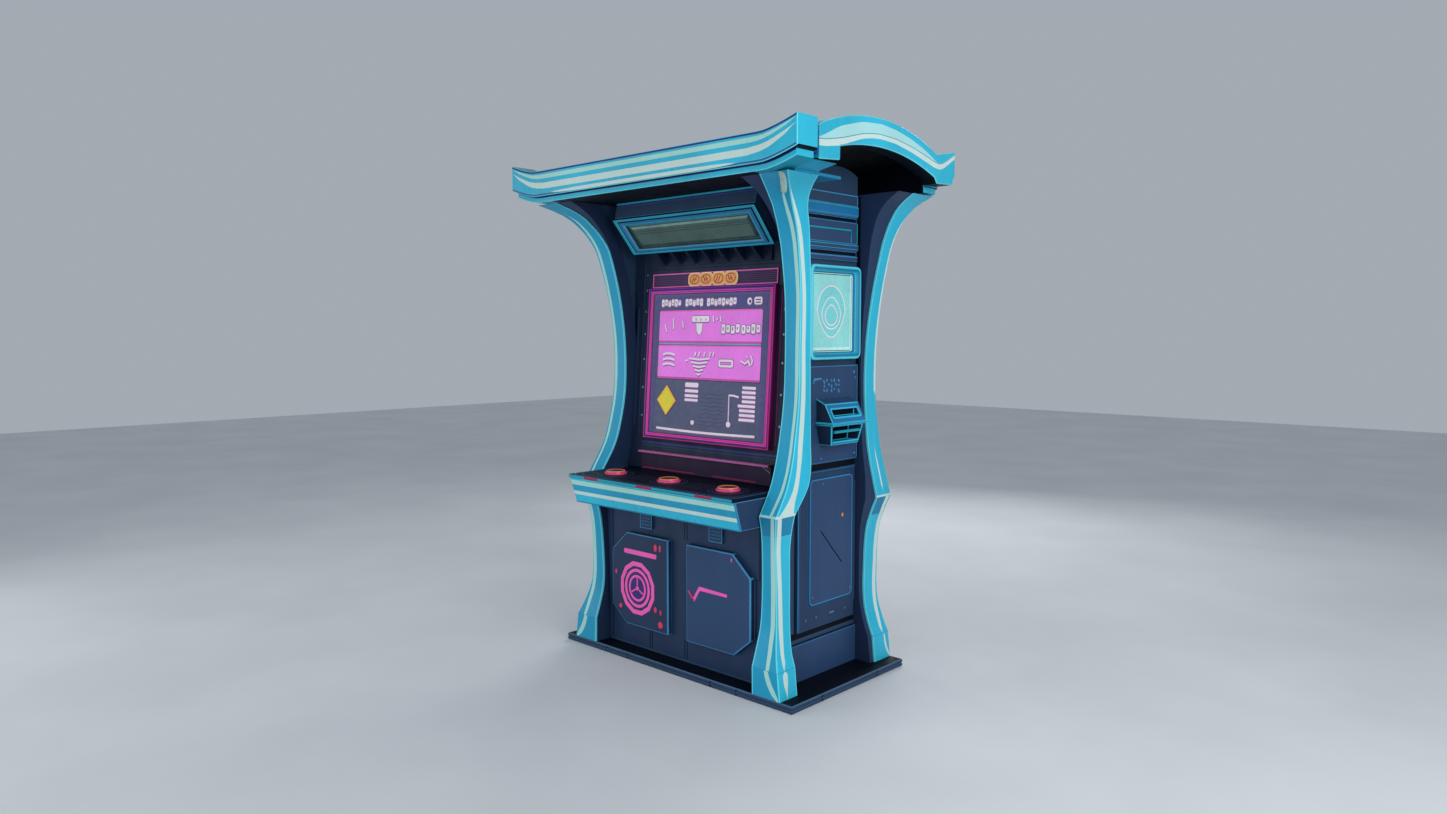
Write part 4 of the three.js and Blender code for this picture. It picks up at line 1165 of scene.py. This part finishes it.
def light_box_lens(node, side):
    """The lens with a brighter lower edge and three drawn rings, each more like a drop than the next."""
    low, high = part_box(node)
    lens = Marks(high.x if side > 0 else low.x, facing_x, side)
    lens.prism(rectangle(low.y, high.y, low.z, high.z), low.x, high.x, facing_x)
    lens.mark(rectangle(low.y, high.y, low.z, low.z + 0.012), 0.0010, 3)
    lens.mark(rectangle(high.y - 0.008, high.y, low.z, high.z), 0.0011, 3)
    centre = ((low.y + high.y) / 2 - 0.004, (low.z + high.z) / 2 + 0.004)

    def drop(radius, stretch, droop, lift=0.0):
        half = radius * stretch
        points = []
        for a, b in ellipse(centre, radius, half, 56):
            down = (centre[1] - b) / half * droop
            points.append((a + (centre[0] - a) * 0.28 * max(0.0, down), b + lift))
        return points

    lens.mark(drop(0.094, 1.10, 1.0), 0.0006, 1)
    for radius, *shape in ((0.096, 1.12, 1.0, 0.0), (0.066, 1.02, -0.9, -0.006), (0.044, 1.0, -1.1, -0.014)):
        lens.ring(drop(radius, *shape), drop(radius - 0.0042, *shape), 0.0016, 2)
    piece(node + "_print", lens, ["glow_lens", "glow_disc", "glow_line", "glow_rim"],
          stands_for=(node,))


def dispenser():
    """The card dispenser: dark shell with bright edges (a painted highlight), a lipped slot and a roller in
    its tray.
    """
    def slot_of(centre, normal):
        # Faces inside the slot and the tray are near black: painted shade in the recesses.
        inside = centre.x < 0.588 and normal.x > 0.9
        if inside or (centre.x > 0.545 and abs(normal.y) < 0.5 and normal.x < -0.2):
            return 3
        if normal.z > 0.3 and centre.z > 1.10:
            return 0 if centre.x > 0.57 else 2
        return 1 if abs(normal.y) > 0.9 else 0

    refined("dispenser_housing", ["azure", "navy_dark", "navy_light", "ink"], bevel=0.0030,
            edge="cyan", slot_of=slot_of)
    bars = Shape()
    # (x, z, radius, material) of the roller and of the tray's rolled lips.
    for x, z, radius, slot in ((0.6085, 1.050, 0.0060, 0), (0.6020, 1.0085, 0.0035, 1),
                               (0.6175, 1.0865, 0.0035, 1)):
        bars.prism(ellipse((x, z), radius, radius, 16), -0.028, 0.142, facing_y, slot)
    # The slot's raised lip lies on the sloping front.
    slope_top = (0.583, 1.163)
    run = Vector((0.038, 0, -0.070)).normalized()
    out = Vector((-run.z, 0, run.x)) * 0.0016

    def on_slope(a, b, depth):
        return tuple(Vector((slope_top[0], a, slope_top[1])) + run * b + out * depth)

    outer, inner = rounded(-0.040, 0.154, 0.019, 0.066, 0.008), rounded(-0.033, 0.147, 0.026, 0.058, 0.004)
    bars.rim(outer, inner, -0.3, 1.0, on_slope, 1)
    piece("dispenser_rollers", bars, ["teal", "cyan"])
    dispenser_marks()


def dispenser_marks():
    """A bent line, three rows of short slanted dashes and five rivets on the pad behind the dispenser."""
    marks = Marks(PAD_FACE, facing_x, 1)
    marks.mark(stroke([(-0.072, 1.246), (-0.068, 1.262), (-0.018, 1.265)], 0.0060), 0.0012)
    for row in range(3):
        for column in range(5):
            y = -0.006 + 0.025 * column + 0.007 * (row % 2)
            z = 1.258 - 0.020 * row + 0.004 * (column % 2)
            foot = (y + 0.008 - 0.012 * ((row + column) % 2), z - 0.014 + 0.004 * ((row + column) % 3))
            marks.mark(stroke([(y, z), foot], 0.0080), 0.0012)
    for y, z, radius in ((0.206, 1.286, 0.006), (0.214, 1.262, 0.004), (-0.090, 0.945, 0.005),
                         (0.212, 0.940, 0.005), (-0.020, 0.936, 0.004)):
        marks.mark(ellipse((y, z), radius, radius, 12))
    piece("dispenser_panel_marks", marks, ["navy_edge"])


# ------------------------------------------------------------------ control deck
# Bands down the fascia's face: (height above its foot, material above it).
# The lighter cyan along the top edge is a painted highlight.
FASCIA_BANDS = [(0.0, 1), (0.006, 0), (0.038, 3), (0.0545, 4), (0.083, 2), (0.105, 0), (0.1125, 5),
                (0.1157, 5)]


def deck():
    (x0, x1), (y0, _), (z0, z1) = box_of("deck_fascia")
    lean, thick = 0.036, 0.0105
    # The fascia leans: its foot is further back than its top.
    points = [(y0 + lean * (1 - height / (z1 - z0)), z0 + height) for height, _ in FASCIA_BANDS]
    points += [(y0 + thick, z1), (y0 + lean + thick, z0)]
    rings = [[(x, y, z) for y, z in points] for x in (x0, x0 + 0.010, x1 - 0.010, x1)]
    shape = Shape().loft(rings, 1, [slot for _, slot in FASCIA_BANDS[:-1]] + [5, 1, 1])
    piece("deck_fascia_board", shape, ["cyan", "cyan_deep", "mint", "white", "cyan_front", "cyan_edge"],
          stands_for=("deck_fascia",), bevel=0.0012)
    refined("deck_box", ["navy_mid", "navy_dark"], bevel=0.003, edge="navy_edge")
    deck_top()
    buttons()
    refined("button_switch_board", ["grey"], bevel=0.001)


def deck_top():
    """The laminate board with its lined lip, a clipped border, and rings around the buttons."""
    (x0, x1), (y0, _), (z0, z1) = box_of("deck_top")
    low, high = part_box("button_cap_right")
    pitch = high.x - 0.043
    y = (low.y + high.y) / 2
    skin = z1 - 0.0004
    extras = Shape()
    extras.box((x0 + 0.002, x1 - 0.002), (y0 - 0.0012, y0 + 0.001), (z0 + 0.002, z1 - 0.002), 1)
    for x in (-pitch, 0, pitch):
        extras.box(around(x, 0.047), (y0 - 0.002, y0 + 0.001), (z0 + 0.002, z1 - 0.003), 2)

    def border(by, clip):
        a0, a1, b0, b1 = x0 + by, x1 - by, y0 + by, -0.19
        return [(a0 + clip, b0), (a1 - clip, b0), (a1, b0 + clip), (a1, b1), (a0, b1), (a0, b0 + clip)]

    for outer, inner, slot in (((0.003, 0.030), (0.007, 0.031), 5), ((0.024, 0.034), (0.028, 0.035), 3)):
        extras.rim(border(*outer), border(*inner), skin, z1 + 0.0008, facing_z, slot)
    for x in (-pitch, 0, pitch):
        for radius, slot in ((0.082, 3), (0.066, 4)):
            extras.rim(circle((x, y), radius, 48), circle((x, y), radius - 0.0035, 48), skin, z1 + 0.0007,
                       facing_z, slot)
    for x in (-pitch / 2, pitch / 2):
        for k in range(4):
            extras.box(around(x, 0.07), around(y - 0.045 + 0.03 * k, 0.0015), (skin, z1 + 0.0006), 4)
    extras.dome((pitch + 0.102, y + 0.02, skin), 0.009, 0.003, facing_z)
    refined("deck_top", ["black", "teal", "crimson", "navy_light", "navy_mid", "azure"],
            bevel=0.0015, extra=extras)


def buttons():
    """Each button's fixed rim and its domed cap, turned from profiles of (radius, height)."""
    for place in ("left", "centre", "right"):
        node = f"button_rim_{place}"
        low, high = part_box(node)
        centre = ((low.x + high.x) / 2, (low.y + high.y) / 2)
        foot, top = low.z, high.z
        rim = [(0.0448, foot + 0.001), (0.0462, foot), (0.0492, foot), (0.0500, foot + 0.001),
               (0.0500, top - 0.0035), (0.0493, top - 0.0012), (0.0475, top), (0.0455, top),
               (0.0442, top - 0.001)]
        piece(node + "_ring", Shape().lathe(rim, centre, 64), ["pink_plastic"],
              stands_for=(node,))
        node = f"button_cap_{place}"
        foot, top = [corner.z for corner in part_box(node)]
        skirt = foot + 0.025
        dome = [(0.0001, foot), (0.014, foot), (0.014, skirt), (0.0425, skirt), (0.043, skirt + 0.001),
                (0.043, top - 0.0085), (0.0428, top - 0.0055), (0.0415, top - 0.0025), (0.0400, top - 0.0018),
                (0.0386, top - 0.0024), (0.0374, top - 0.0042), (0.024, top - 0.0018), (0.010, top - 0.0003),
                (0.0001, top)]
        shape = Shape().lathe(dome, centre, 64, [0] * 6 + [1] * 4 + [2] * 4)
        piece(node + "_dome", shape, ["pink_plastic", "orange_plastic", "olive_plastic"],
              f"button_{place}", (node,))


def ledge():
    """The plum strip behind the deck, with its mauve ledge and dashed foot line."""
    (x0, x1), (y0, _), (z0, z1) = box_of("ledge_panel")
    face = y0 + 0.017
    dashes = Shape()
    dashes.box((x0 + 0.002, x1 - 0.002), around(y0, 0.001), (z1 - 0.0085, z1 - 0.001), 1)
    for ends in ((-0.382, -0.30), (-0.292, -0.044), (0.063, 0.313)):
        dashes.box(ends, (face - 0.0018, face + 0.001), (z0 + 0.006, z0 + 0.0105), 2)
    dashes.box((x0 + 0.004, x1 - 0.004), around(face, 0.001), (z0 + 0.002, z0 + 0.005), 3)
    scratch = stroke([(0.300, z1 - 0.012), (0.335, z1 - 0.004), (0.392, z1 - 0.034)], 0.0028)
    dashes.prism(scratch, face - 0.0012, face + 0.0006, facing_y, 4)

    def slot_of(centre, normal):
        return 1 if centre.z > z1 - 0.012 and normal.z > -0.5 else 0

    refined("ledge_panel", ["plum", "mauve", "crimson", "plum_light", "rivet"], bevel=0.0015,
            slot_of=slot_of, extra=dashes)


# ------------------------------------------------------------------ screen
SCREEN_LEAN = math.atan(0.069)
SCREEN_FOOT = 0.970
SCREEN_FACE = 0.008
BEZEL_HEIGHT = 0.6826
DISPLAY_TONES = ["screen_white", "screen_pink", "screen_rose", "screen_line", "amber", "yellow",
                 "screen_shade", "screen_dark", "pink_line"]
WHITE, PINK, ROSE, BLUE, AMBER, YELLOW, SHADE, DARK, RIM = range(len(DISPLAY_TONES))
# How far a shadow stands out of the display, which is less than what casts it.
SHADOW = 0.00135


def leaning(origin, angle):
    """A place function for a board that leans about the x axis, seen from its front."""
    matrix = Matrix.Translation(origin) @ Matrix.Rotation(angle, 4, "X")

    def place(a, b, depth):
        return tuple(matrix @ Vector((a, depth, b)))
    return place


def mitred(outer, opening, rows):
    """A frame's steps between two rectangles; rows are (share of the bar's width, depth, material)."""
    return [(rectangle(*[a + (b - a) * share for a, b in zip(outer, opening)]), depth, slot)
            for share, depth, slot in rows]


def bezel(place):
    half, bar, thick = 0.380, 0.031, 0.022
    opening = (-half + bar, half - bar, bar - 0.003, BEZEL_HEIGHT - bar + 0.003)
    rows = [(0.0, thick, 2), (0.0, 0.003, 2), (0.06, 0.0, 0), (0.20, 0.0, 4), (0.30, 0.004, 4),
            (0.42, 0.004, 0), (0.50, 0.0015, 1), (0.62, 0.0015, 0), (0.80, 0.0020, 1), (0.90, 0.003, 2),
            (1.0, 0.009, 4), (1.0, thick, 0)]

    def slot_of(at, ring):
        # Ring 2 runs along the top bar, which is purple.
        slot = rows[at][2]
        return 3 if ring == 2 and slot in (0, 2) else slot

    shape = Shape().frame(mitred((-half, half, 0.0, BEZEL_HEIGHT), opening, rows), place, slot_of)
    piece("screen_bezel_frame", shape, ["magenta", "magenta_light", "magenta_dark", "purple", "indigo"],
          stands_for=("screen_bezel",), sharp=25)


class Display(Marks):
    """The display's marks: bars, lines and fields, with a painted shadow around the foot of each mark."""

    def shadow(self, outline):
        self.mark(outline, SHADOW, SHADE)

    def bar(self, a0, a1, b0, b1, height=0.0018):
        radius = min(a1 - a0, b1 - b0) * 0.30
        grow = 0.0032
        self.shadow(rounded(a0 - grow, a1 + grow, b0 - grow * 1.6, b1 + grow, radius + grow, 3))
        self.mark(rounded(a0, a1, b0, b1, radius, 3), height)

    def line(self, points, width):
        self.shadow(stroke([(a + 0.0015, b - 0.0025) for a, b in points], width + 0.005))
        self.mark(stroke(points, width), 0.0022)

    def banner(self, low, high):
        self.mark(rounded(-0.311, 0.315, low - 0.007, high + 0.002, 0.008, 4), 0.0005, DARK)
        self.mark(rounded(-0.307, 0.311, low, high, 0.007, 4), 0.0010, PINK)
        self.mark(rounded(-0.306, 0.310, low - 0.003, low + 0.006, 0.003, 3), 0.0013, ROSE)
        self.mark(rounded(-0.305, 0.309, high - 0.006, high - 0.001, 0.002, 3), 0.0013, RIM)


def screen_marks(place):
    """What the display shows: two banner fields, bars and plain marks, none of them letters."""
    marks = Display(SCREEN_FACE, place)
    marks.banner(0.440, 0.582)
    marks.banner(0.279, 0.427)
    marks.mark(rectangle(-0.305, 0.309, 0.4295, 0.4365), 0.0008, BLUE)
    header(marks)
    first_banner(marks)
    second_banner(marks)
    lower_field(marks)
    piece("screen_display_marks", marks, DISPLAY_TONES, bevel=0.0005)


def header(marks):
    """Groups of short bars of unequal height, and a ring with a square beside it."""
    for start, end, count in ((-0.298, -0.171, 6), (-0.146, -0.034, 5), (-0.013, 0.164, 8)):
        pitch = (end - start) / count
        for i in range(count):
            left = start + i * pitch
            high = 0.632 - 0.005 * ((i * 2) % 3 == 1)
            marks.bar(left + 0.001, left + pitch - 0.003, 0.599 + 0.005 * (i % 2), high)
            notch = 0.611 + 0.004 * (i % 3)
            marks.mark(rectangle(*around(left + pitch / 2, 0.003), notch, notch + 0.0045), 0.0026, DARK)
    marks.shadow(ellipse((0.236, 0.614), 0.016, 0.018, 24))
    marks.mark(ellipse((0.236, 0.615), 0.013, 0.015, 24), 0.0018)
    marks.mark(ellipse((0.239, 0.614), 0.006, 0.007, 20), 0.0026, DARK)
    marks.bar(0.262, 0.306, 0.600, 0.632)
    for b in (0.607, 0.618):
        marks.mark(rectangle(0.270, 0.298, b, b + 0.0045), 0.0026, DARK)


def first_banner(marks):
    """A broad block over a tapering stem, slanted ticks, and a row of blocks on the right."""
    marks.bar(-0.099, 0.006, 0.529, 0.556, 0.0026)
    for i in range(3):
        a = -0.075 + 0.030 * i
        marks.mark(rectangle(a, a + 0.004, 0.534, 0.546), 0.0032, SHADE)
    stem = [(-0.072, 0.524), (-0.033, 0.524), (-0.036, 0.487), (-0.052, 0.471), (-0.068, 0.487)]
    marks.shadow([(a + (0.003 if a > -0.052 else -0.003), b - 0.003) for a, b in stem])
    marks.mark(stem, 0.0022)
    for a, b, top, foot in ((-0.271, -0.256, 0.520, 0.484), (-0.217, -0.212, 0.546, 0.498),
                            (-0.159, -0.151, 0.533, 0.503), (0.028, 0.034, 0.554, 0.528),
                            (0.072, 0.077, 0.552, 0.530), (0.050, 0.055, 0.548, 0.536)):
        marks.line([(a, top), (b, foot)], 0.007)
    for i in range(8):
        left = 0.082 + 0.0275 * i + (0.006 if i > 3 else 0.0)
        marks.bar(left, left + 0.0215, 0.478 + 0.005 * (i % 2), 0.520 - 0.004 * (i % 3), 0.0024)
        marks.mark(rectangle(left + 0.007, left + 0.0125, 0.492 + 0.004 * (i % 2), 0.506), 0.0032, SHADE)


def second_banner(marks):
    """Three curved bars, a fan of bars that narrows downwards, an empty pill and a bent line."""
    for i in range(3):
        z = 0.385 - 0.023 * i
        curve = [(-0.274, z - 0.002), (-0.250, z + 0.004), (-0.222, z + 0.003), (-0.198, z - 0.003)]
        marks.line(curve, 0.009)
    for i in range(5):
        z = 0.366 - 0.0165 * i
        half = 0.062 - 0.0125 * i
        marks.line([(-0.044 - half, z + 0.003), (-0.044, z - 0.002), (-0.044 + half, z + 0.004)], 0.0075)
    marks.line([(-0.130, 0.356), (-0.112, 0.362)], 0.006)
    for a in (-0.070, -0.046, -0.014, 0.020, 0.040):
        marks.line([(a + 0.003, 0.398), (a - 0.003, 0.379)], 0.007)
    outer, opening = (0.073, 0.158, 0.334, 0.368), (0.083, 0.148, 0.344, 0.358)
    for grow, slot, height in ((0.003, SHADE, SHADOW), (0.0, WHITE, 0.0022)):
        marks.ring(rounded(*inset(outer, -grow), 0.010), rounded(*inset(opening, grow), 0.002), height, slot)
    marks.line([(0.200, 0.364), (0.226, 0.352), (0.244, 0.364), (0.256, 0.342)], 0.008)
    marks.line([(0.256, 0.386), (0.266, 0.366), (0.262, 0.348)], 0.007)
    marks.line([(0.232, 0.386), (0.237, 0.376)], 0.007)


def lower_field(marks):
    """A diamond, two stacks of bars, a bent pointer with a ball, and a long sagging bar."""
    for half_a, half_b, height, slot in ((0.066, 0.074, 0.0008, DARK), (0.062, 0.069, 0.0022, AMBER),
                                         (0.055, 0.062, 0.0030, YELLOW)):
        marks.mark(ellipse((-0.240, 0.178), half_a, half_b, 4), height, slot)
    for low, high in ((0.242, 0.262), (0.219, 0.232), (0.198, 0.210), (0.180, 0.191)):
        marks.bar(-0.124, -0.042, low, high)
    for i, left in enumerate((0.218, 0.216, 0.218, 0.218, 0.196, 0.205, 0.205, 0.204)):
        high = 0.257 - 0.0193 * i
        marks.bar(left, 0.293, high - 0.0115, high)
    marks.line([(0.199, 0.211), (0.168, 0.216), (0.143, 0.216)], 0.0075)
    marks.line([(0.143, 0.218), (0.145, 0.104)], 0.004)
    for a, b, radius in ((0.146, 0.092, 0.012), (-0.069, 0.087, 0.010)):
        marks.shadow(circle((a + 0.001, b - 0.002), radius + 0.003, 20))
        marks.mark(circle((a, b), radius, 20), 0.0030)
    sag = [(-0.298 + 0.0596 * i, 0.0500 - 0.0045 * math.sin(math.pi * i / 10)) for i in range(11)]
    marks.line(sag, 0.010)
    for i in range(9):
        z = 0.078 + 0.017 * i
        wave = [(-0.030 + 0.018 * k, z + 0.003 * math.sin(1.7 * k + i)) for k in range(9)]
        marks.mark(stroke(wave, 0.0016), 0.0006, DARK)


def screen():
    place = leaning((0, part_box("screen_bezel")[0].y, SCREEN_FOOT), -SCREEN_LEAN)
    bezel(place)
    glass = Marks(SCREEN_FACE, place)
    glass.prism(rectangle(-0.3487, 0.3487, 0.0283, 0.6543), SCREEN_FACE, 0.014, place)
    glass.mark(rectangle(-0.336, 0.336, 0.588, 0.644), 0.0005, 1)
    for side in SIDES.values():
        glass.mark(rectangle(*span(side, 0.3200, 0.3440), 0.034, 0.586), 0.0005, 1)
    piece("screen_glass_panel", glass, ["screen", "screen_top"],
          stands_for=("screen_glass",))
    screen_marks(place)
    surround(place)
    title(place)
    refined("monitor_chassis", ["socket"], bevel=0.004)
    refined("speaker", ["socket"], bevel=0.004)


def surround(place):
    """The dark board around the screen: upright seams, a magenta strip, rivets and foot lines."""
    marks = Marks(0.024, place)
    # (distance from the middle, half width, lower end, upper end, material)
    seams = [(0.398, 0.003, 0.02, 0.66, 3), (0.392, 0.002, 0.02, 0.66, 4), (0.436, 0.0035, 0.00, 0.83, 1),
             (0.444, 0.0025, 0.00, 0.83, 4), (0.468, 0.005, 0.05, 0.60, 1), (0.476, 0.003, 0.05, 0.60, 4)]
    for side in SIDES.values():
        for x, half, low, high, slot in seams:
            marks.mark(rectangle(*span(side, x - half, x + half), low, high), 0.002, slot)
        for height in (0.10, 0.23, 0.36, 0.477, 0.580, 0.678, 0.749):
            marks.mark(ellipse((side * 0.417, height), 0.0050, 0.0055, 14), 0.003, 2)
    for height, half, slot in ((-0.010, 0.0035, 4), (-0.022, 0.004, 5), (-0.036, 0.003, 1),
                               (0.770, 0.003, 4)):
        marks.mark(rectangle(-0.410, 0.410, *around(height, half)), 0.0016, slot)
    refined("front_surround", ["navy_dark", "navy_mid", "rivet", "magenta_dark", "seam", "indigo"],
            bevel=0.0012, extra=marks)


def title(place):
    """The strip over the screen, with a badge of four joined lobes."""
    low, high = BEZEL_HEIGHT + 0.004, BEZEL_HEIGHT + 0.067
    middle = (low + high) / 2
    strip = Marks(0.019, place)
    board = rectangle(-0.374, 0.374, low, high)
    strip.prism(board, strip.face, strip.face + 0.0045, place)
    strip.ring(board, rectangle(-0.370, 0.370, low + 0.0045, high - 0.0045), 0.0015, 1)
    for i in range(6):
        z = low + 0.010 + 0.008 * i
        strip.mark(rectangle(-0.366, 0.366, z, z + 0.003), 0.0006, 2)
    lobes = (-0.105, -0.035, 0.040, 0.112)
    for half_x, half_z, radius, height, slot in ((0.040, 0.0295, 0.022, 0.0020, 5),
                                                 (0.0365, 0.026, 0.019, 0.0026, 3)):
        for x in lobes:
            strip.mark(rounded(*around(x, half_x), *around(middle, half_z), radius, 6), height, slot)
    for i, x in enumerate(lobes):
        centre = (x, middle)
        strip.ring(ellipse(centre, 0.029, 0.0215, 28), ellipse(centre, 0.0245, 0.0170, 28), 0.0034, 4)
        lean = 0.006 * (1 - 2 * (i % 2))
        for shift in (-0.010, 0.004):
            ends = [(x + shift - lean, middle - 0.012), (x + shift + lean, middle + 0.012)]
            strip.mark(stroke(ends, 0.0055), 0.0034, 4)
        if i != 2:
            strip.mark(stroke([(x - 0.010, middle - 0.002), (x + 0.012, middle)], 0.005), 0.0036, 4)
    piece("title_strip_panel", strip, ["plum_light", "pink_line", "plum", "amber", "rust", "pale_amber"],
          stands_for=("title_strip",), bevel=0.0004)


# ------------------------------------------------------------------ marquee
MARQUEE_OUT, MARQUEE_UP = 0.124, 0.144
MARQUEE_FOOT = (0, -0.185, 1.804)
MARQUEE_THICK = 0.015


def marquee():
    place = leaning(MARQUEE_FOOT, math.atan2(MARQUEE_OUT, MARQUEE_UP))
    thick = MARQUEE_THICK
    rows = [(0.0, thick, 4), (0.0, 0.002, 3), (0.04, 0.0, 0), (0.26, 0.0, 3), (0.31, 0.004, 4),
            (0.42, 0.006, 4), (0.46, 0.0015, 1), (0.74, 0.0015, 0), (0.86, 0.0025, 2), (0.91, 0.004, 1),
            (1.0, 0.006, 5), (1.0, thick, 4)]
    shape = Shape().frame(mitred((-0.420, 0.420, 0.0, 0.190), (-0.363, 0.363, 0.026, 0.152), rows), place)
    piece("marquee_frame_rim", shape, ["teal", "azure", "lens_light", "cyan", "navy_dark", "lens_dark"],
          stands_for=("marquee_frame",), sharp=25)
    marquee_lens(place)

    (x0, x1), _, _ = box_of("marquee_housing")
    lines = Shape()
    for y, z, radius, slot in ((-0.2815, 2.0215, 0.0050, 1), (-0.2845, 2.0105, 0.0035, 2)):
        lines.prism(circle((y, z), radius, 12), x0 + 0.002, x1 - 0.002, facing_x, slot)
    tones = ["slate", "teal", "indigo", "navy_light"]
    refined("marquee_housing", tones, bevel=0.0008, edge="navy_edge",
            slot_of=lambda centre, normal: 3 if abs(normal.x) > 0.9 else 0)
    piece("marquee_housing_lines", lines, tones)
    refined("marquee_lamp", ["glow_lens"], bevel=0.002)
    refined("marquee_brackets", ["seam"], bevel=0.002, edge="azure")


def marquee_lens(place):
    """A glass panel with a stepped inner field, whose upper half is the lighter one, and thin lines."""
    thick = MARQUEE_THICK
    lens = Shape()
    lens.prism(rectangle(-0.371, 0.371, 0.018, 0.160), thick + 0.0003, thick + 0.004, place)
    steps = [(0.352, 0.033, 0.138, thick + 0.0006), (0.352, 0.033, 0.138, thick - 0.0020),
             (0.340, 0.040, 0.128, thick - 0.0050)]
    rings = [[place(a, b, depth) for a, b in rectangle(-half, half, low, high)]
             for half, low, high, depth in steps]
    lens.loft(rings, 0, lambda side, ring: 1 if side == 2 and ring == 1 else 2)
    lens.prism(rectangle(-0.336, 0.336, 0.044, 0.124), thick - 0.0058, thick - 0.0048, place)
    for b in (0.100, 0.112):
        lens.prism(rectangle(-0.336, 0.336, b, b + 0.0035), thick - 0.0064, thick - 0.0050, place, 2)
    lens.prism(rectangle(-0.362, 0.362, 0.1435, 0.1470), thick - 0.0012, thick + 0.0006, place, 3)
    piece("marquee_lens_panel", lens, ["lens", "lens_light", "lens_dark", "teal"],
          stands_for=("marquee_lens",), bevel=0.0006)


# ------------------------------------------------------------------ inside
def interior():
    refined("service_shelf", ["navy"], bevel=0.001)
    computer_box()
    supply_box()
    coin_box()
    refined("card_magazine", ["socket"], bevel=0.003)
    inlet()


def computer_box():
    (x0, x1), (y0, _), (z0, z1) = box_of("game_computer")
    extra = Shape()
    for i in range(9):
        x = x0 + 0.05 + 0.016 * i
        extra.box((x, x + 0.007), around(y0, 0.001), (z0 + 0.03, z1 - 0.03), 1)
    for i in range(4):
        extra.box(around(x1 - 0.05 - 0.03 * i, 0.011), (y0 - 0.003, y0 + 0.001), (z0 + 0.03, z0 + 0.045), 1)
    refined("game_computer", ["grey", "socket"], bevel=0.003, extra=extra)


def supply_box():
    (x0, x1), (y0, _), (z0, z1) = box_of("power_supply")
    extra = Shape()
    centre = ((x0 + x1) / 2, (z0 + z1) / 2)
    for radius in (0.036, 0.027, 0.018, 0.009):
        extra.rim(circle(centre, radius, 32), circle(centre, radius - 0.003, 32), y0 - 0.0015, y0 + 0.001,
                  facing_y, 1)
    refined("power_supply", ["grey", "socket"], bevel=0.002, extra=extra)


def coin_box():
    (x0, x1), (y0, _), (z0, z1) = box_of("cash_box")
    extra = Shape()
    extra.box((x0 + 0.08, x1 - 0.08), (y0 - 0.002, y0 + 0.001), (z1 - 0.05, z1 - 0.044), 1)
    extra.dome(((x0 + x1) / 2, (z0 + z1) / 2, y0 + 0.0004), 0.012, -0.005, facing_y, 2)
    refined("cash_box", ["grey", "socket", "steel"], bevel=0.003, extra=extra)


def inlet():
    """The power socket: a rounded rim around a sunk face with three pins."""
    xs, (y0, y1), zs = box_of("power_inlet")
    edges = (*xs, *zs)
    shape = Shape()
    shape.rim(rounded(*edges, 0.006), rounded(*inset(edges, 0.012), 0.005), y0, y1 - 0.001, facing_y)
    shape.prism(rounded(*inset(edges, 0.010), 0.005), y0, y0 + 0.003, facing_y)
    middle_x, middle_z = sum(xs) / 2, sum(zs) / 2
    for across in (-0.009, 0.0, 0.009):
        shape.box(around(middle_x + across, 0.0012), (y0 + 0.002, y1 - 0.003), around(middle_z, 0.005), 1)
    piece("power_inlet_socket", shape, ["socket", "steel"],
          stands_for=("power_inlet",), bevel=0.0006)


# ------------------------------------------------------------------ stage
CAMERA_PLACE = (2.9761, -3.2146, 1.4595)
CAMERA_YAW = 0.7518
CAMERA_PITCH = -0.0775
CAMERA_LENS = 24.446


def camera():
    data = bpy.data.cameras.new("camera")
    data.lens = CAMERA_LENS
    data.sensor_width = 36.0
    data.clip_end = 60.0
    made = in_scene("camera", data)
    made.location = CAMERA_PLACE
    made.rotation_euler = (math.pi / 2 + CAMERA_PITCH, 0.0, CAMERA_YAW)
    bpy.context.scene.camera = made


def area_light(name, place, target, size, power):
    data = bpy.data.lights.new(name, "AREA")
    data.shape = "RECTANGLE"
    data.size, data.size_y = size
    data.energy = power
    made = in_scene(name, data)
    made.location = place
    aim = Vector(target) - Vector(place)
    made.rotation_euler = aim.to_track_quat("-Z", "Y").to_euler()


def floor():
    mesh = bpy.data.meshes.new("floor")
    reach = 14.0
    corners = [(x, y, 0) for x, y in rectangle(-reach, reach, -reach, reach)]
    mesh.from_pydata(corners, [], [(0, 1, 2, 3)])
    finish = Finish("floor_paint")
    tone = finish.ramp(finish.noise(1.2, 3.0), [(0.3, linear("#cfd2d6")), (0.7, linear("#d8dbde"))])
    roughness = finish.spread(finish.noise(8.0), 0.75, 0.85)
    mesh.materials.append(finish.surface(Base_Color=tone, Roughness=roughness))
    made = in_scene("floor", mesh)


def lighting():
    scene = bpy.context.scene
    scene.view_settings.view_transform = "Standard"
    world = bpy.data.worlds.new("studio")
    world.use_nodes = True
    background = world.node_tree.nodes["Background"]
    background.inputs["Color"].default_value = linear("#dfe8f2")
    background.inputs["Strength"].default_value = 0.50
    scene.world = world
    area_light("key", (4.4, -1.4, 2.6), (0, 0, 1.1), (2.8, 2.8), 120)
    area_light("fill", (-3.0, -3.6, 1.6), (0, 0, 1.0), (3.2, 2.6), 34)
    area_light("front", (0.8, -4.4, 0.8), (0, 0, 1.1), (2.4, 1.4), 26)
    area_light("back", (-1.5, 4.0, 2.8), (0, 0, 1.2), (3.0, 2.4), 70)


camera()
base_plate()
posts()
canopy()
side_walls()
body_shell()
front_doors()
side_panels()
wall_lines()
vents()
light_boxes()
dispenser()
deck()
ledge()
screen()
marquee()
interior()
floor()
lighting()
